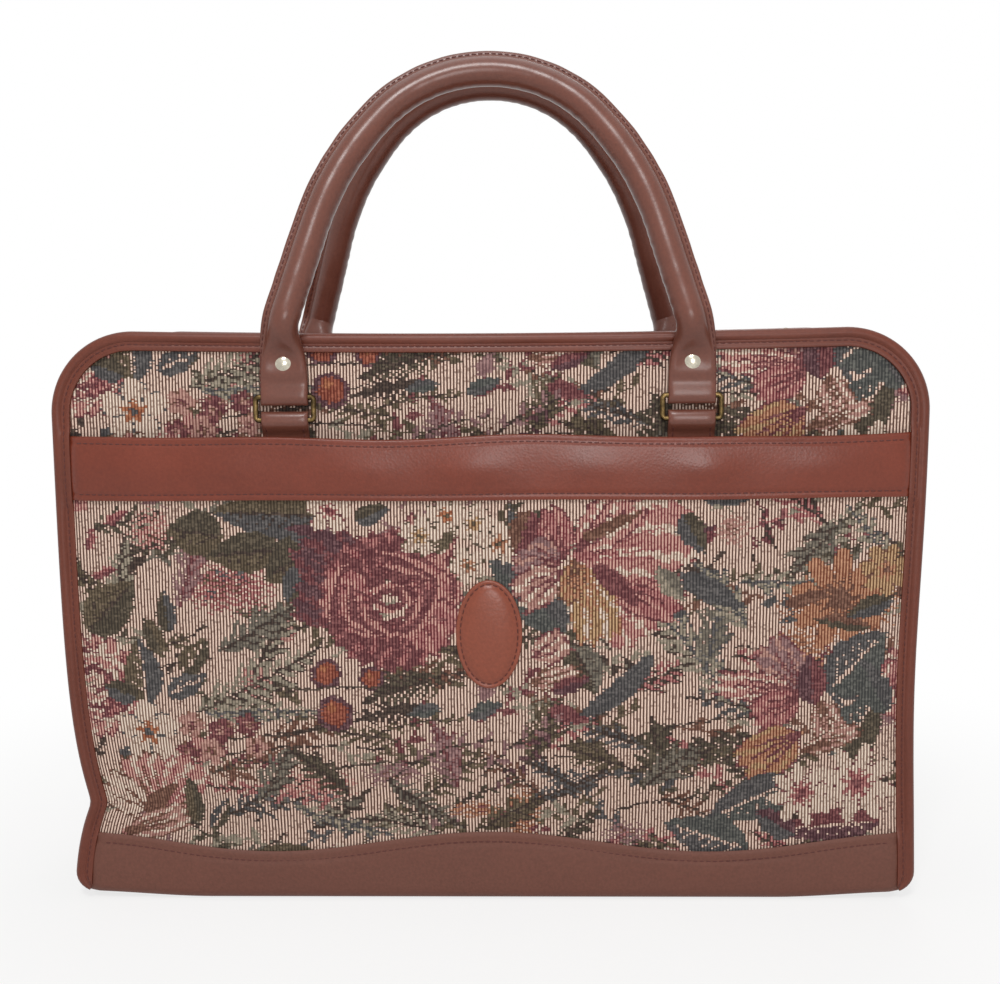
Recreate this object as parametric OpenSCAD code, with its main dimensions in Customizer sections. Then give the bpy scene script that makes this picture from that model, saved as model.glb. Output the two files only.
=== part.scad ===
// Soft-sided briefcase with a zipped top, sewn from ribbed tapestry cloth and brown leatherette.
// X runs to the right seen from the front, -Y points to the front and Z is up.
// The origin lies under the middle of the base. All sizes are in millimetres.

/* [Case] */
// Width of the case over the piping
case_w = 420; // [380:1:460]
// Height of the case over the piping, without the handles
case_h = 282; // [265:1:320]
// Width of the gusset between the front and the back
gusset_d = 88; // [70:1:120]
// Radius of the upper corners
top_corner_r = 40; // [30:1:55]
// Radius of the lower corners
bottom_corner_r = 12; // [11:0.5:16]
// How far the gusset lies inside the outer edge of the piping
gusset_inset = 4.8; // [3:0.1:6]

/* [Cloth and boards] */
// Thickness of the tapestry cloth
cloth_t = 1.4; // [0.8:0.1:2]
// Thickness of the leatherette
leather_t = 1.6; // [1:0.1:2]
// Thickness of the stiffening boards in the front and the back
board_t = 1.8; // [1:0.1:3]
// Thickness of the board on the base
base_board_t = 3; // [2:0.1:5]
// Thickness of the lining
lining_t = 0.6; // [0.4:0.1:1]
// Gap left between pieces that are sewn side by side
seam_gap = 0.1; // [0.05:0.05:0.3]

/* [Piping] */
// Radius of the covered piping cord
piping_r = 2.8; // [2:0.1:3.4]
// Width of the stitched flange, from the middle of the cord
piping_flange_w = 6.2; // [4.5:0.1:7]
// Thickness of the stitched flange
piping_flange_t = 1.2; // [0.8:0.1:1.6]

/* [Base trim] */
// Mean height of the leatherette that wraps the base
base_trim_h = 29.5; // [24:0.5:45]
// Rise and fall of its upper edge
base_wave = 5; // [0:0.5:7]
// Length of one wave of that edge
base_wave_l = 215; // [120:5:300]
// Outer radius of the fold along the base
base_fold_r = 6; // [4:0.5:9]

/* [Front pocket] */
// Distance from the top of the case to the upper edge of the pocket and its band
band_drop = 50.5; // [48:0.5:90]
// Height of the leatherette band
band_h = 30; // [15:0.5:45]
// How far the pocket stands off the front at its fullest
pocket_bulge = 8; // [6:0.5:14]
// Share of the height between the base trim and the band over which the pocket fills out
pocket_rise = 0.39; // [0.2:0.01:0.4]

/* [Badge] */
// Width of the oval badge
badge_w = 32; // [20:1:50]
// Height of the oval badge
badge_h = 53; // [30:1:70]
// Thickness of the padded badge at its middle
badge_t = 2.6; // [1.6:0.1:5]
// How far the badge sits above the middle of the pocket cloth
badge_raise = 18.5; // [12:0.5:25]

/* [Handles] */
// Radius of the crown of the arch along the middle of the grip
handle_r = 68; // [55:1:85]
// Radius of the flatter shoulders between the crown and the legs
shoulder_r = 139; // [110:1:180]
// Slope from upright at which the crown passes into the shoulders
crown_angle = 42.5; // [32:0.5:55]
// Length of the straight legs of the arch
leg_l = 47; // [30:1:70]
// Slope of the legs from upright
leg_angle = 16; // [6:1:25]
// Lean of the arch towards the middle of the case
handle_lean = 18; // [6:1:22]
// Radius of the padded grip
grip_r = 7.2; // [6:0.1:11]
// Width of the stitched flange on the outer edge of the grip
grip_flange_w = 3.4; // [2:0.1:6]
// Thickness of that flange
grip_flange_t = 2.6; // [1.6:0.1:4]
// Width of the flat strap ends and of the tabs
strap_w = 22.5; // [16:0.5:30]
// Length of the tab that is sewn to the case below its loop
tab_l = 25; // [18:1:34]
// Radius of a rivet cap
rivet_r = 4.8; // [3:0.1:7]
// Height of a rivet cap
rivet_h = 2; // [1:0.1:3]
// Radius of a rivet shank
rivet_shank_r = 1.4; // [1:0.1:2.4]

/* [Rings] */
// Diameter of the ring wire
ring_wire = 2.6; // [2:0.1:4]
// Spare width of the ring on each side of the strap
ring_side_gap = 1.25; // [0.6:0.05:3]
// Distance between the lower and the upper bar, middle to middle
ring_bar_gap = 11; // [9:0.5:16]
// Radius of the ring's corners along the middle of the wire
ring_corner_r = 1.7; // [1.4:0.1:3]
// Height of the lower bar above the edge of the pocket
ring_lift = 8; // [7:0.5:16]
// Running clearance of the wire in its leatherette loops
ring_clear = 0.1; // [0.05:0.01:0.2]

/* [Zip] */
// Width of the slot between the two zip strips
zip_slot = 16; // [13:0.5:24]
// Distance from the ends of the zip to the upper corners
zip_margin = 5; // [4:0.5:20]
// Width of each zip tape
tape_w = 12; // [9:0.5:18]
// Thickness of the zip tape
tape_t = 0.8; // [0.5:0.1:1.2]
// Distance between neighbouring teeth of one row
tooth_pitch = 2.6; // [2:0.1:4]
// Thickness of the teeth
tooth_t = 2.4; // [1.8:0.1:3.2]
// Length of the slider
slider_l = 12; // [9:0.5:16]
// Wall thickness of the slider
slider_wall = 1.2; // [0.8:0.1:1.6]
// Length of the pull from its pin to its tip
pull_l = 27; // [18:1:40]
// Width of the pull
pull_w = 7.5; // [6:0.5:12]
// Thickness of the pull
pull_t = 1.4; // [1:0.1:2]
// Radius of the pin that holds the pull
pin_r = 1; // [0.7:0.1:1.3]

/* [Hidden] */
$fn = 72;
tapestry = "#8f8069";
leather = "#7a4f42";
piping_brown = "#6b4136";
base_brown = "#6e4a3f";
lining_brown = "#5d4636";
board_grey = "#9a917f";
cord_white = "#d8d0bd";
tape_brown = "#4d352b";
brass = "#b39a68";
nickel = "#c9c2b2";

// Layers through the front and the back, counted from the middle of the case
half_w = case_w / 2;
half_d = gusset_d / 2;
face_y = half_d + board_t + cloth_t;
pipe_y = half_d + piping_r + seam_gap;
pipe_front = pipe_y + piping_r;
pocket_y = face_y + cloth_t;
wrap_front = pocket_y + leather_t;
wrap_back = face_y + leather_t;

// Insets from the outline of the case
gusset_inner = gusset_inset + leather_t;
panel_inset = 2 * piping_r + seam_gap;
flange_inset = piping_r + piping_flange_w;
trim_half = half_w - flange_inset - seam_gap;
base_half = half_w - bottom_corner_r - 2 * seam_gap;

// Heights
panel_bottom = base_fold_r + seam_gap;
pocket_bottom = bottom_corner_r;
trim_top = base_trim_h + base_wave;
base_board_top = leather_t + seam_gap + base_board_t;
lining_inset = max(base_board_top, gusset_inner) + 2 * seam_gap;
lining_y = half_d - 3 * seam_gap;
strip_top = case_h - gusset_inset;
strip_bottom = strip_top - leather_t;

// The pocket is flat behind the base trim and stands off the front above it
rise_start = 1.5;
band_top = case_h - band_drop;
band_bottom = band_top - band_h;
rise_from = trim_top + rise_start;
rise_to = rise_from + pocket_rise * (band_bottom - trim_top);
rise_steps = 7;
pocket_stations = 26;
pocket_top = band_top - leather_t - seam_gap;
badge_z = (trim_top + band_bottom) / 2 + badge_raise;

// Rings, tabs and strap ends
wire_r = ring_wire / 2;
bore_r = wire_r + ring_clear;
loop_r = bore_r + leather_t;
ring_stand = 0.2;
ring_y = max(face_y + loop_r, pipe_front + leather_t) + ring_stand;
lower_bar_z = band_top + ring_lift;
upper_bar_z = lower_bar_z + ring_bar_gap;
tab_bottom = lower_bar_z - tab_l;
tab_corner_r = 4;
loop_taper = 2.5;
strap_drop = 10;
strap_top = case_h - strap_drop;
rivet_edge = 1;
rivet_z = strap_top - rivet_r - rivet_edge;
washer_t = 0.8;
washer_r = rivet_r * 0.8;

// The three-centred arch of the handle, in its own leaning plane, from the middle of the crown's arc
core_gap = 0.1;
core_r = grip_r - leather_t - core_gap;
arc_lap = 1;
arc_ease = 0.985;
grip_lift = 7;
grip_start = case_h + grip_lift;
grip_forward = 0.6;
grip_y = ring_y + grip_r - leather_t + grip_forward;
shoulder_set = shoulder_r - handle_r;
shoulder_turn = crown_angle - leg_angle;
shoulder_lap = arc_lap / shoulder_r * 180 / PI;
leg_x = shoulder_r * cos(leg_angle) - shoulder_set * cos(crown_angle) + leg_l * sin(leg_angle);
arch_rise = leg_l * cos(leg_angle) + shoulder_set * sin(crown_angle) - shoulder_r * sin(leg_angle);
strap_splay = 2.4;
strap_x = leg_x + strap_splay;

// Zip
zip_half = half_w - top_corner_r - zip_margin;
zip_z = strip_bottom - tape_t / 2;
chain_half = 2.6;
spine_w = 1.4;
tooth_gap = 0.2;
tooth_tip = chain_half - spine_w - tooth_gap;
head_half = (tooth_pitch / 2 - tooth_gap) / 2;
root_half = head_half * 0.8;
stop_l = 3;
slider_x = zip_half - stop_l - slider_l;
chain_short = 1.5;
chain_l = slider_x + zip_half - chain_short;
chain_clear = 0.2;
slider_inside = tooth_t / 2 + chain_clear;
slider_top = slider_inside + slider_wall;
tail_half = chain_half + chain_clear + slider_wall;
nose_flare = 1;
nose_half = tail_half + nose_flare;
wedge_half = 1.4;
wedge_tip = 1;
pin_clear = 0.1;
ear_wall = 1.2;
ear_r = pin_r + pin_clear + ear_wall;
ear_half = 1.1;
ear_sink = 0.6;
ear_foot = ear_r - ear_sink;
pin_z = zip_z + slider_top + ear_foot;
arm_gap = 0.3;
arm_w = 1.2;
arm_in = ear_half + arm_gap;
arm_out = arm_in + arm_w;
neck_gap = 1.6;
pull_neck = ear_r + neck_gap;
pull_hole_r = pull_w / 5;

// Outline of the case seen from the front, drawn in by the given inset
module outline(inset) {
    w = half_w - inset;
    top = case_h - inset;
    top_r = top_corner_r - inset;
    low_r = bottom_corner_r - inset;
    for (side = [-1, 1]) {
        translate([side * (w - top_r), top - top_r]) circle(top_r);
        translate([side * (w - low_r), inset + low_r]) circle(low_r);
    }
    translate([-w, inset + low_r]) square([2 * w, top - top_r - inset - low_r]);
    translate([top_r - w, inset + low_r]) square([2 * (w - top_r), top - inset - low_r]);
    translate([low_r - w, inset]) square([2 * (w - low_r), 2 * low_r]);
}

// Stands a shape drawn in X and Z upright, from the given Y towards the front
module upright(y, thickness) {
    translate([0, y, 0]) rotate([90, 0, 0]) linear_extrude(thickness) children();
}

// Runs a profile drawn in Y and Z along X, centred on the given X
module along_x(x, length) {
    translate([x - length / 2, 0, 0]) rotate([90, 0, 90]) linear_extrude(length) children();
}

// Turns a piece of the front into its twin at the back
module at_back() {
    mirror([0, 1, 0]) children();
}

module panel_shape(inset) {
    intersection() {
        outline(inset);
        translate([-half_w, panel_bottom]) square([case_w, case_h]);
    }
}

module panel_cloth() {
    color(tapestry) upright(-half_d - board_t, cloth_t) panel_shape(panel_inset);
}

module panel_board() {
    color(board_grey) upright(-half_d, board_t) panel_shape(panel_inset);
}

// A side of the gusset, with the upper and the lower corner that it turns
module gusset() {
    color(tapestry) upright(half_d, gusset_d) intersection() {
        difference() {
            outline(gusset_inset);
            outline(gusset_inner);
        }
        union() {
            translate([half_w - bottom_corner_r, 0]) square([bottom_corner_r, case_h / 2]);
            translate([half_w - top_corner_r, case_h / 2]) square([top_corner_r, case_h / 2]);
        }
    }
}

// A trough with rounded lower edges, drawn in Y and Z
module trough(y0, y1, z0, z1, r) {
    for (y = [y0 + r, y1 - r])
        translate([y, z0 + r]) circle(r);
    translate([y0, z0 + r]) square([y1 - y0, z1 - z0 - r]);
    translate([y0 + r, z0]) square([y1 - y0 - 2 * r, 2 * r]);
}

function trim_edge(x) = base_trim_h + base_wave * cos(360 * x / base_wave_l);

// Leatherette folded under the case, with a waved upper edge on the front and the back
module base_wrap() {
    edge_steps = 48;
    edge = [for (i = [0 : edge_steps]) let (x = trim_half * (1 - 2 * i / edge_steps)) [x, trim_edge(x)]];
    color(base_brown) intersection() {
        along_x(0, 2 * trim_half) difference() {
            trough(-wrap_front, wrap_back, 0, trim_top + 1, base_fold_r);
            trough(leather_t - wrap_front, wrap_back - leather_t, leather_t, trim_top + 2,
                   base_fold_r - leather_t);
        }
        upright(wrap_back + 1, wrap_front + wrap_back + 2) polygon(concat(
            [[-trim_half, bottom_corner_r], [-base_half, bottom_corner_r], [-base_half, -1],
             [base_half, -1], [base_half, bottom_corner_r], [trim_half, bottom_corner_r]],
            edge));
    }
}

module base_board() {
    half_y = wrap_back - base_fold_r;
    color(board_grey) translate([-base_half, -half_y, leather_t + seam_gap])
        cube([2 * base_half, 2 * half_y, base_board_t]);
}

// Lining bag, open along the zip
module lining() {
    slot_half = zip_slot / 2 + tape_w;
    color(lining_brown) difference() {
        union() {
            upright(lining_y, 2 * lining_y) difference() {
                outline(lining_inset);
                outline(lining_inset + lining_t);
            }
            for (y = [lining_y, lining_t - lining_y])
                upright(y, lining_t) outline(lining_inset);
        }
        translate([top_corner_r - half_w, -slot_half, case_h - top_corner_r])
            cube([case_w - 2 * top_corner_r, 2 * slot_half, top_corner_r]);
    }
}

// How far the pocket stands off the front at a place on it
function rise(z) = sin(90 * max(0, min(1, (z - rise_from) / (rise_to - rise_from))));
function swell(x, z) = pocket_bulge * pow(max(0, 1 - pow(x / trim_half, 2)), 0.6) * rise(z);
function station_x(i) = trim_half * sin(180 * i / pocket_stations - 90);

// Sheet that follows the swell of the pocket: its section lists [distance from the middle, height],
// up the outer face and down the inner face
module pocket_sheet(section) {
    n = len(section);
    points = [for (i = [0 : pocket_stations]) for (p = section)
        [station_x(i), -p[0] - swell(station_x(i), p[1]), p[1]]];
    walls = [for (i = [0 : pocket_stations - 1]) for (k = [0 : n - 1])
        let (a = i * n + k, b = i * n + (k + 1) % n) each [[a, b, b + n], [a, b + n, a + n]]];
    first_cap = [for (k = [n - 1 : -1 : 0]) k];
    last_cap = [for (k = [0 : n - 1]) pocket_stations * n + k];
    polyhedron(points, concat(walls, [first_cap, last_cap]), convexity = 4);
}

// Slip pocket across the front, flat behind the base trim and open at the top
module front_pocket() {
    levels = concat([pocket_bottom],
        [for (i = [0 : rise_steps]) rise_from + (rise_to - rise_from) * i / rise_steps],
        [pocket_top]);
    last = len(levels) - 1;
    color(tapestry) pocket_sheet(concat(
        [for (z = levels) [pocket_y, z]],
        [for (i = [last : -1 : 0]) [face_y, levels[i]]]));
}

// Leatherette band folded over the upper edge of the pocket
module pocket_band() {
    color(leather) pocket_sheet([
        [wrap_front, band_bottom], [wrap_front, band_top], [face_y, band_top],
        [face_y, band_top - leather_t], [pocket_y, band_top - leather_t], [pocket_y, band_bottom]]);
}

// Padded oval with a folded lip: each ring lists [share of the width, share of the thickness]
module badge() {
    n = 48;
    rings = [[1, 0], [1, 0.42], [0.94, 0.55], [0.86, 0.48], [0.8, 0.62], [0.6, 0.85], [0.35, 0.96], [0.1, 1]];
    last = len(rings) - 1;
    points = [for (r = rings) for (i = [0 : n - 1]) let (a = 360 * i / n)
        [r[0] * badge_w / 2 * cos(a), r[0] * badge_h / 2 * sin(a), r[1] * badge_t]];
    walls = [for (j = [0 : last - 1]) for (i = [0 : n - 1])
        let (a = j * n + i, b = j * n + (i + 1) % n) each [[a, b + n, b], [a, a + n, b + n]]];
    under = [for (i = [0 : n - 1]) i];
    top = [for (i = [n - 1 : -1 : 0]) last * n + i];
    seat_y = pocket_y + swell(0, badge_z) + seam_gap;
    color(leather) translate([0, -seat_y, badge_z]) rotate([90, 0, 0])
        polyhedron(points, concat(walls, [under, top]), convexity = 4);
}

// Covered cord and its flange: X is the distance in from the outline, Y the distance to the front
module piping_section() {
    translate([piping_r, pipe_y]) circle(piping_r);
    translate([piping_r, face_y]) square([piping_flange_w, piping_flange_t]);
}

module piping_corner(x, z, r, start) {
    translate([x, 0, z]) rotate([90, 0, 0]) rotate([0, 0, start]) rotate_extrude(angle = 90)
        translate([r, 0]) mirror([1, 0]) piping_section();
}

module piping_side() {
    translate([half_w, 0, bottom_corner_r]) rotate([0, 0, 180])
        linear_extrude(case_h - top_corner_r - bottom_corner_r) piping_section();
    piping_corner(half_w - top_corner_r, case_h - top_corner_r, top_corner_r, 0);
    piping_corner(half_w - bottom_corner_r, bottom_corner_r, bottom_corner_r, -90);
}

// Piping round the panel, from one lower corner over the top to the other
module piping() {
    color(piping_brown) {
        piping_side();
        mirror([1, 0, 0]) piping_side();
        translate([half_w - top_corner_r, 0, case_h]) rotate([0, 90, 180])
            linear_extrude(case_w - 2 * top_corner_r) piping_section();
    }
}

// Leatherette strip between the gusset's edge and the zip
module zip_strip() {
    half = half_w - top_corner_r - seam_gap;
    color(leather) translate([-half, -half_d, strip_bottom])
        cube([2 * half, half_d - zip_slot / 2, leather_t]);
}

module zip_tape() {
    color(tape_brown) translate([-zip_half - stop_l, -chain_half - tape_w, zip_z - tape_t / 2])
        cube([2 * (zip_half + stop_l), tape_w, tape_t]);
}

// Row of teeth on its corded edge, drawn for the front tape
module zip_teeth(shift) {
    edge = spine_w - chain_half;
    count = floor((chain_l - shift) / tooth_pitch);
    teeth = [for (i = [0 : count - 1]) let (x = shift + (i + 0.5) * tooth_pitch) each
        [[x - root_half, edge], [x - head_half, tooth_tip],
         [x + head_half, tooth_tip], [x + root_half, edge]]];
    color(brass) translate([-zip_half, 0, zip_z - tooth_t / 2]) linear_extrude(tooth_t)
        polygon(concat([[0, -chain_half], [0, edge]], teeth, [[chain_l, edge], [chain_l, -chain_half]]));
}

// End stops: one across both tapes where the zip opens, one on each tape where it closes
module zip_stops() {
    color(brass) translate([0, 0, zip_z - tooth_t / 2]) {
        translate([-zip_half - stop_l, -chain_half, 0]) cube([stop_l - seam_gap, 2 * chain_half, tooth_t]);
        for (y = [-chain_half, chain_half - spine_w])
            translate([zip_half - stop_l, y, 0]) cube([stop_l, spine_w, tooth_t]);
    }
}

// Plan of the slider, wide at its nose, drawn in by the wall and run on past its ends
module slider_plan(wall, run_on) {
    tail = -slider_l / 2 - run_on;
    nose = slider_l / 2 + run_on;
    shoulder = slider_l / 6;
    polygon([[tail, wall - tail_half], [shoulder, wall - nose_half], [nose, wall - nose_half],
             [nose, nose_half - wall], [shoulder, nose_half - wall], [tail, tail_half - wall]]);
}

// One half of the slider: a plate with two side walls that stop short of the tapes
module slider_half() {
    lip = tape_t / 2 + chain_clear;
    translate([0, 0, slider_inside]) linear_extrude(slider_wall) slider_plan(0, 0);
    translate([0, 0, lip]) linear_extrude(slider_top - lip) difference() {
        slider_plan(0, 0);
        slider_plan(slider_wall, 1);
    }
}

// Slider: two halves on the wedge that parts the teeth, and the ear that holds the pull
module zip_slider() {
    color(brass) {
        translate([slider_x, 0, zip_z]) {
            slider_half();
            mirror([0, 0, 1]) slider_half();
            translate([0, 0, -slider_inside]) linear_extrude(2 * slider_inside)
                polygon([[0, 0], [slider_l / 2 - wedge_tip, -wedge_half], [slider_l / 2, 0],
                         [slider_l / 2 - wedge_tip, wedge_half]]);
        }
        translate([slider_x, ear_half, pin_z]) rotate([90, 0, 0]) linear_extrude(2 * ear_half) difference() {
            union() {
                circle(ear_r);
                translate([-ear_r, -ear_foot]) square([2 * ear_r, ear_foot]);
            }
            circle(pin_r + pin_clear);
        }
    }
}

// Pull: a pin through the slider's ear, two arms and a flat tag with a slot
module zip_pull() {
    color(brass) translate([slider_x, 0, pin_z]) {
        translate([0, arm_out, 0]) rotate([90, 0, 0]) cylinder(h = 2 * arm_out, r = pin_r);
        for (y = [-arm_out, arm_in])
            translate([-pull_neck - arm_w, y, -pull_t / 2]) cube([pull_neck + arm_w, arm_w, pull_t]);
        translate([0, 0, -pull_t / 2]) linear_extrude(pull_t) difference() {
            union() {
                translate([pull_w / 2 - pull_l, 0]) circle(pull_w / 2);
                translate([pull_w / 2 - pull_l, -pull_w / 2])
                    square([pull_l - pull_neck - pull_w / 2, pull_w]);
            }
            translate([pull_w / 2 - pull_l, 0]) circle(pull_hole_r);
        }
    }
}

// Tab sewn to the case, with the loop that carries the ring's lower bar
module tab(side) {
    outer = face_y + 2 * leather_t;
    color(leather) intersection() {
        along_x(side * strap_x, strap_w) difference() {
            union() {
                translate([-ring_y, lower_bar_z]) circle(loop_r);
                polygon([[-face_y, tab_bottom], [-face_y, lower_bar_z - loop_r],
                         [loop_r - ring_y, lower_bar_z], [-ring_y - loop_r, lower_bar_z],
                         [-outer, lower_bar_z - loop_taper * loop_r], [-outer, tab_bottom]]);
            }
            translate([-ring_y, lower_bar_z]) circle(bore_r);
        }
        upright(0, ring_y + 2 * loop_r) translate([side * strap_x, 0]) union() {
            for (x = [-1, 1])
                translate([x * (strap_w / 2 - tab_corner_r), tab_bottom + tab_corner_r]) circle(tab_corner_r);
            translate([-strap_w / 2, tab_bottom + tab_corner_r]) square([strap_w, tab_l + loop_r]);
            translate([tab_corner_r - strap_w / 2, tab_bottom]) square([strap_w - 2 * tab_corner_r, tab_l]);
        }
    }
}

// Rectangular ring of round wire between a tab and a strap end
module ring(side) {
    half_x = strap_w / 2 + ring_side_gap + wire_r;
    half_z = ring_bar_gap / 2;
    run_x = half_x - ring_corner_r;
    run_z = half_z - ring_corner_r;
    color(brass) translate([side * strap_x, -ring_y, lower_bar_z + half_z]) {
        for (z = [-half_z, half_z])
            translate([-run_x, 0, z]) rotate([0, 90, 0]) cylinder(h = 2 * run_x, r = wire_r);
        for (x = [-half_x, half_x])
            translate([x, 0, -run_z]) cylinder(h = 2 * run_z, r = wire_r);
        for (turn = [0 : 3])
            translate([(turn == 0 || turn == 3 ? 1 : -1) * run_x, 0, (turn < 2 ? 1 : -1) * run_z])
                rotate([90, 0, 0]) rotate([0, 0, 90 * turn])
                    rotate_extrude(angle = 90) translate([ring_corner_r, 0]) circle(wire_r);
    }
}

// Plane of the arch: its pole along the third axis, its crown along the second
module arch_plane() {
    translate([0, -grip_y, grip_start]) rotate([-handle_lean, 0, 0])
        translate([0, 0, arch_rise]) rotate([90, 0, 0]) children();
}

// Middle of a shoulder's arc, from which the shoulder starts at the top of its leg
module shoulder_middle(side) {
    mirror([side < 0 ? 1 : 0, 0, 0])
        translate([-shoulder_set * cos(crown_angle), -shoulder_set * sin(crown_angle), 0])
            rotate([0, 0, leg_angle]) children();
}

module leg_end(side) {
    shoulder_middle(side) translate([shoulder_r, 0, 0]) rotate([90, 0, 0]) children();
}

// Runs a section round the crown and the shoulders and down both legs; its X points out of the arch.
// Shoulders and legs are each a little thinner than what they run a short way into.
module round_the_arch() {
    rotate([0, 0, crown_angle]) rotate_extrude(angle = 180 - 2 * crown_angle)
        translate([handle_r, 0]) children();
    for (side = [-1, 1]) {
        shoulder_middle(side) rotate_extrude(angle = shoulder_turn + shoulder_lap)
            translate([shoulder_r, 0]) scale(arc_ease) children();
        leg_end(side) translate([0, 0, -arc_lap]) linear_extrude(leg_l + arc_lap)
            scale(arc_ease * arc_ease) children();
    }
}

module grip_section() {
    circle(grip_r);
    translate([0, -grip_flange_t / 2]) square([grip_r + grip_flange_w, grip_flange_t]);
}

// Flat end of the handle, folded round the ring's upper bar and riveted
module strap_end(side) {
    loop_top = upper_bar_z + loop_taper * loop_r;
    difference() {
        along_x(side * strap_x, strap_w) difference() {
            union() {
                translate([-ring_y, upper_bar_z]) circle(loop_r);
                polygon([[-ring_y - loop_r, upper_bar_z], [-ring_y - leather_t, loop_top],
                         [-ring_y - leather_t, strap_top], [leather_t - ring_y, strap_top],
                         [leather_t - ring_y, loop_top], [loop_r - ring_y, upper_bar_z]]);
            }
            translate([-ring_y, upper_bar_z]) circle(bore_r);
        }
        translate([side * strap_x, 0, rivet_z]) rotate([90, 0, 0])
            cylinder(h = ring_y + 2 * loop_r, r = rivet_shank_r + seam_gap);
    }
}

// Where the flat end gathers into the round grip
module strap_gather(side) {
    slice = 0.4;
    hull() {
        translate([side * strap_x - strap_w / 2, -ring_y - leather_t, strap_top - slice])
            cube([strap_w, 2 * leather_t, slice]);
        arch_plane() leg_end(side) translate([0, 0, leg_l - slice]) cylinder(h = slice, r = grip_r, $fn = 32);
    }
}

module handle_cover() {
    color(leather) {
        difference() {
            union() {
                arch_plane() round_the_arch() grip_section();
                strap_gather(-1);
                strap_gather(1);
            }
            arch_plane() round_the_arch() circle(core_r + core_gap);
        }
        strap_end(-1);
        strap_end(1);
    }
}

module handle_core() {
    color(cord_white) arch_plane() round_the_arch() circle(core_r);
}

// Two rivets with domed caps, closed by a flat washer behind the strap
module handle_rivets() {
    dome_r = (rivet_r * rivet_r + rivet_h * rivet_h) / (2 * rivet_h);
    color(nickel) for (side = [-1, 1])
        translate([side * strap_x, -ring_y, rivet_z]) rotate([90, 0, 0]) {
            translate([0, 0, -leather_t - washer_t]) cylinder(h = washer_t, r = washer_r);
            translate([0, 0, -leather_t]) cylinder(h = 2 * leather_t, r = rivet_shank_r);
            translate([0, 0, leather_t]) rotate_extrude() intersection() {
                translate([0, rivet_h - dome_r]) circle(dome_r);
                square([rivet_r, rivet_h]);
            }
        }
}

panel_cloth();  // front_panel
panel_board();  // front_board
at_back() panel_cloth();  // back_panel
at_back() panel_board();  // back_board
mirror([1, 0, 0]) gusset();  // left_gusset
gusset();  // right_gusset
base_wrap();
base_board();
lining();
front_pocket();
pocket_band();
badge();
piping();  // front_piping
at_back() piping();  // back_piping
zip_strip();  // front_zip_strip
at_back() zip_strip();  // back_zip_strip
zip_tape();  // front_zip_tape
at_back() zip_tape();  // back_zip_tape
zip_teeth(0);  // front_zip_teeth
at_back() zip_teeth(tooth_pitch / 2);  // back_zip_teeth
zip_stops();
zip_slider();
zip_pull();
tab(-1);  // front_left_tab
tab(1);  // front_right_tab
at_back() tab(-1);  // back_left_tab
at_back() tab(1);  // back_right_tab
ring(-1);  // front_left_ring
ring(1);  // front_right_ring
at_back() ring(-1);  // back_left_ring
at_back() ring(1);  // back_right_ring
handle_cover();  // front_handle_cover
handle_core();  // front_handle_core
handle_rivets();  // front_handle_rivets
at_back() handle_cover();  // back_handle_cover
at_back() handle_core();  // back_handle_core
at_back() handle_rivets();  // back_handle_rivets
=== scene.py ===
"""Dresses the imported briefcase: tapestry, leatherette, stitching, padded handles and metal fittings."""
import math

import bpy
import numpy as np
from mathutils import Matrix, Vector


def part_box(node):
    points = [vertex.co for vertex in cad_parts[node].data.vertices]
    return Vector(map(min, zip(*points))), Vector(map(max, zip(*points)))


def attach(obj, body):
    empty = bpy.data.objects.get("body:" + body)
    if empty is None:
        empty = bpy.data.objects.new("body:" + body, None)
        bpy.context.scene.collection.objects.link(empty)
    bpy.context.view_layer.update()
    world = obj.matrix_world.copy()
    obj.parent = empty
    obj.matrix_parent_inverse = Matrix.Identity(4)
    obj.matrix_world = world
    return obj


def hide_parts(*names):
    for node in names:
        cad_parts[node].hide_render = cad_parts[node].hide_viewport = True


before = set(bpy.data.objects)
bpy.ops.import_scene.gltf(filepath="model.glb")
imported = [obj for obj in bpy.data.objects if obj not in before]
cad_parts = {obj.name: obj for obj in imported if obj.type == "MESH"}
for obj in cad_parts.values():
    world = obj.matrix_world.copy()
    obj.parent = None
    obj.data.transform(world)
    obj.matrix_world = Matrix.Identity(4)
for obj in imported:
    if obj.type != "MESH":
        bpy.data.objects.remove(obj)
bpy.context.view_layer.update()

bl_info = {
    "name": "Tapestry briefcase",
    "version": (1, 0, 0),
    "blender": (4, 5, 0),
    "location": "View3D > Sidebar > Briefcase",
    "description": "Dresses the packed briefcase with tapestry, leatherette, stitching and metal",
    "category": "Object",
}

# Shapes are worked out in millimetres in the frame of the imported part, and meshes are in metres
MM = 0.001


def side_of(node, corner, axis):
    """One side of a node's box, in millimetres."""
    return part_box(node)[corner][axis] / MM


# The case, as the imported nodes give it
HALF_W = side_of("front_piping", 1, 0)
TOP = side_of("front_piping", 1, 2)
TOP_R = HALF_W - side_of("right_gusset", 0, 0)
LOW_R = 12.0
FACE_Y = -side_of("front_panel", 0, 1)
CLOTH_T = 1.4
LEATHER_T = 1.6
POCKET_Y = FACE_Y + CLOTH_T
WRAP_FRONT = -side_of("base_wrap", 0, 1)
WRAP_BACK = side_of("base_wrap", 1, 1)
GUSSET_Y = side_of("right_gusset", 1, 1)
TRIM_HALF = side_of("base_wrap", 1, 0)
PANEL_LOW = side_of("front_panel", 0, 2)
POCKET_LOW = side_of("front_pocket", 0, 2)
BAND_LOW = side_of("pocket_band", 0, 2)
BAND_TOP = side_of("pocket_band", 1, 2)
STRIP_TOP = side_of("front_zip_strip", 1, 2)
STRIP_HALF = side_of("front_zip_strip", 1, 0)
SLOT_HALF = -side_of("front_zip_strip", 1, 1)
PIPING_R, PIPING_Y = 2.8, 46.9
FLANGE_IN, FLANGE_T = 9.0, 1.3
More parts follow.
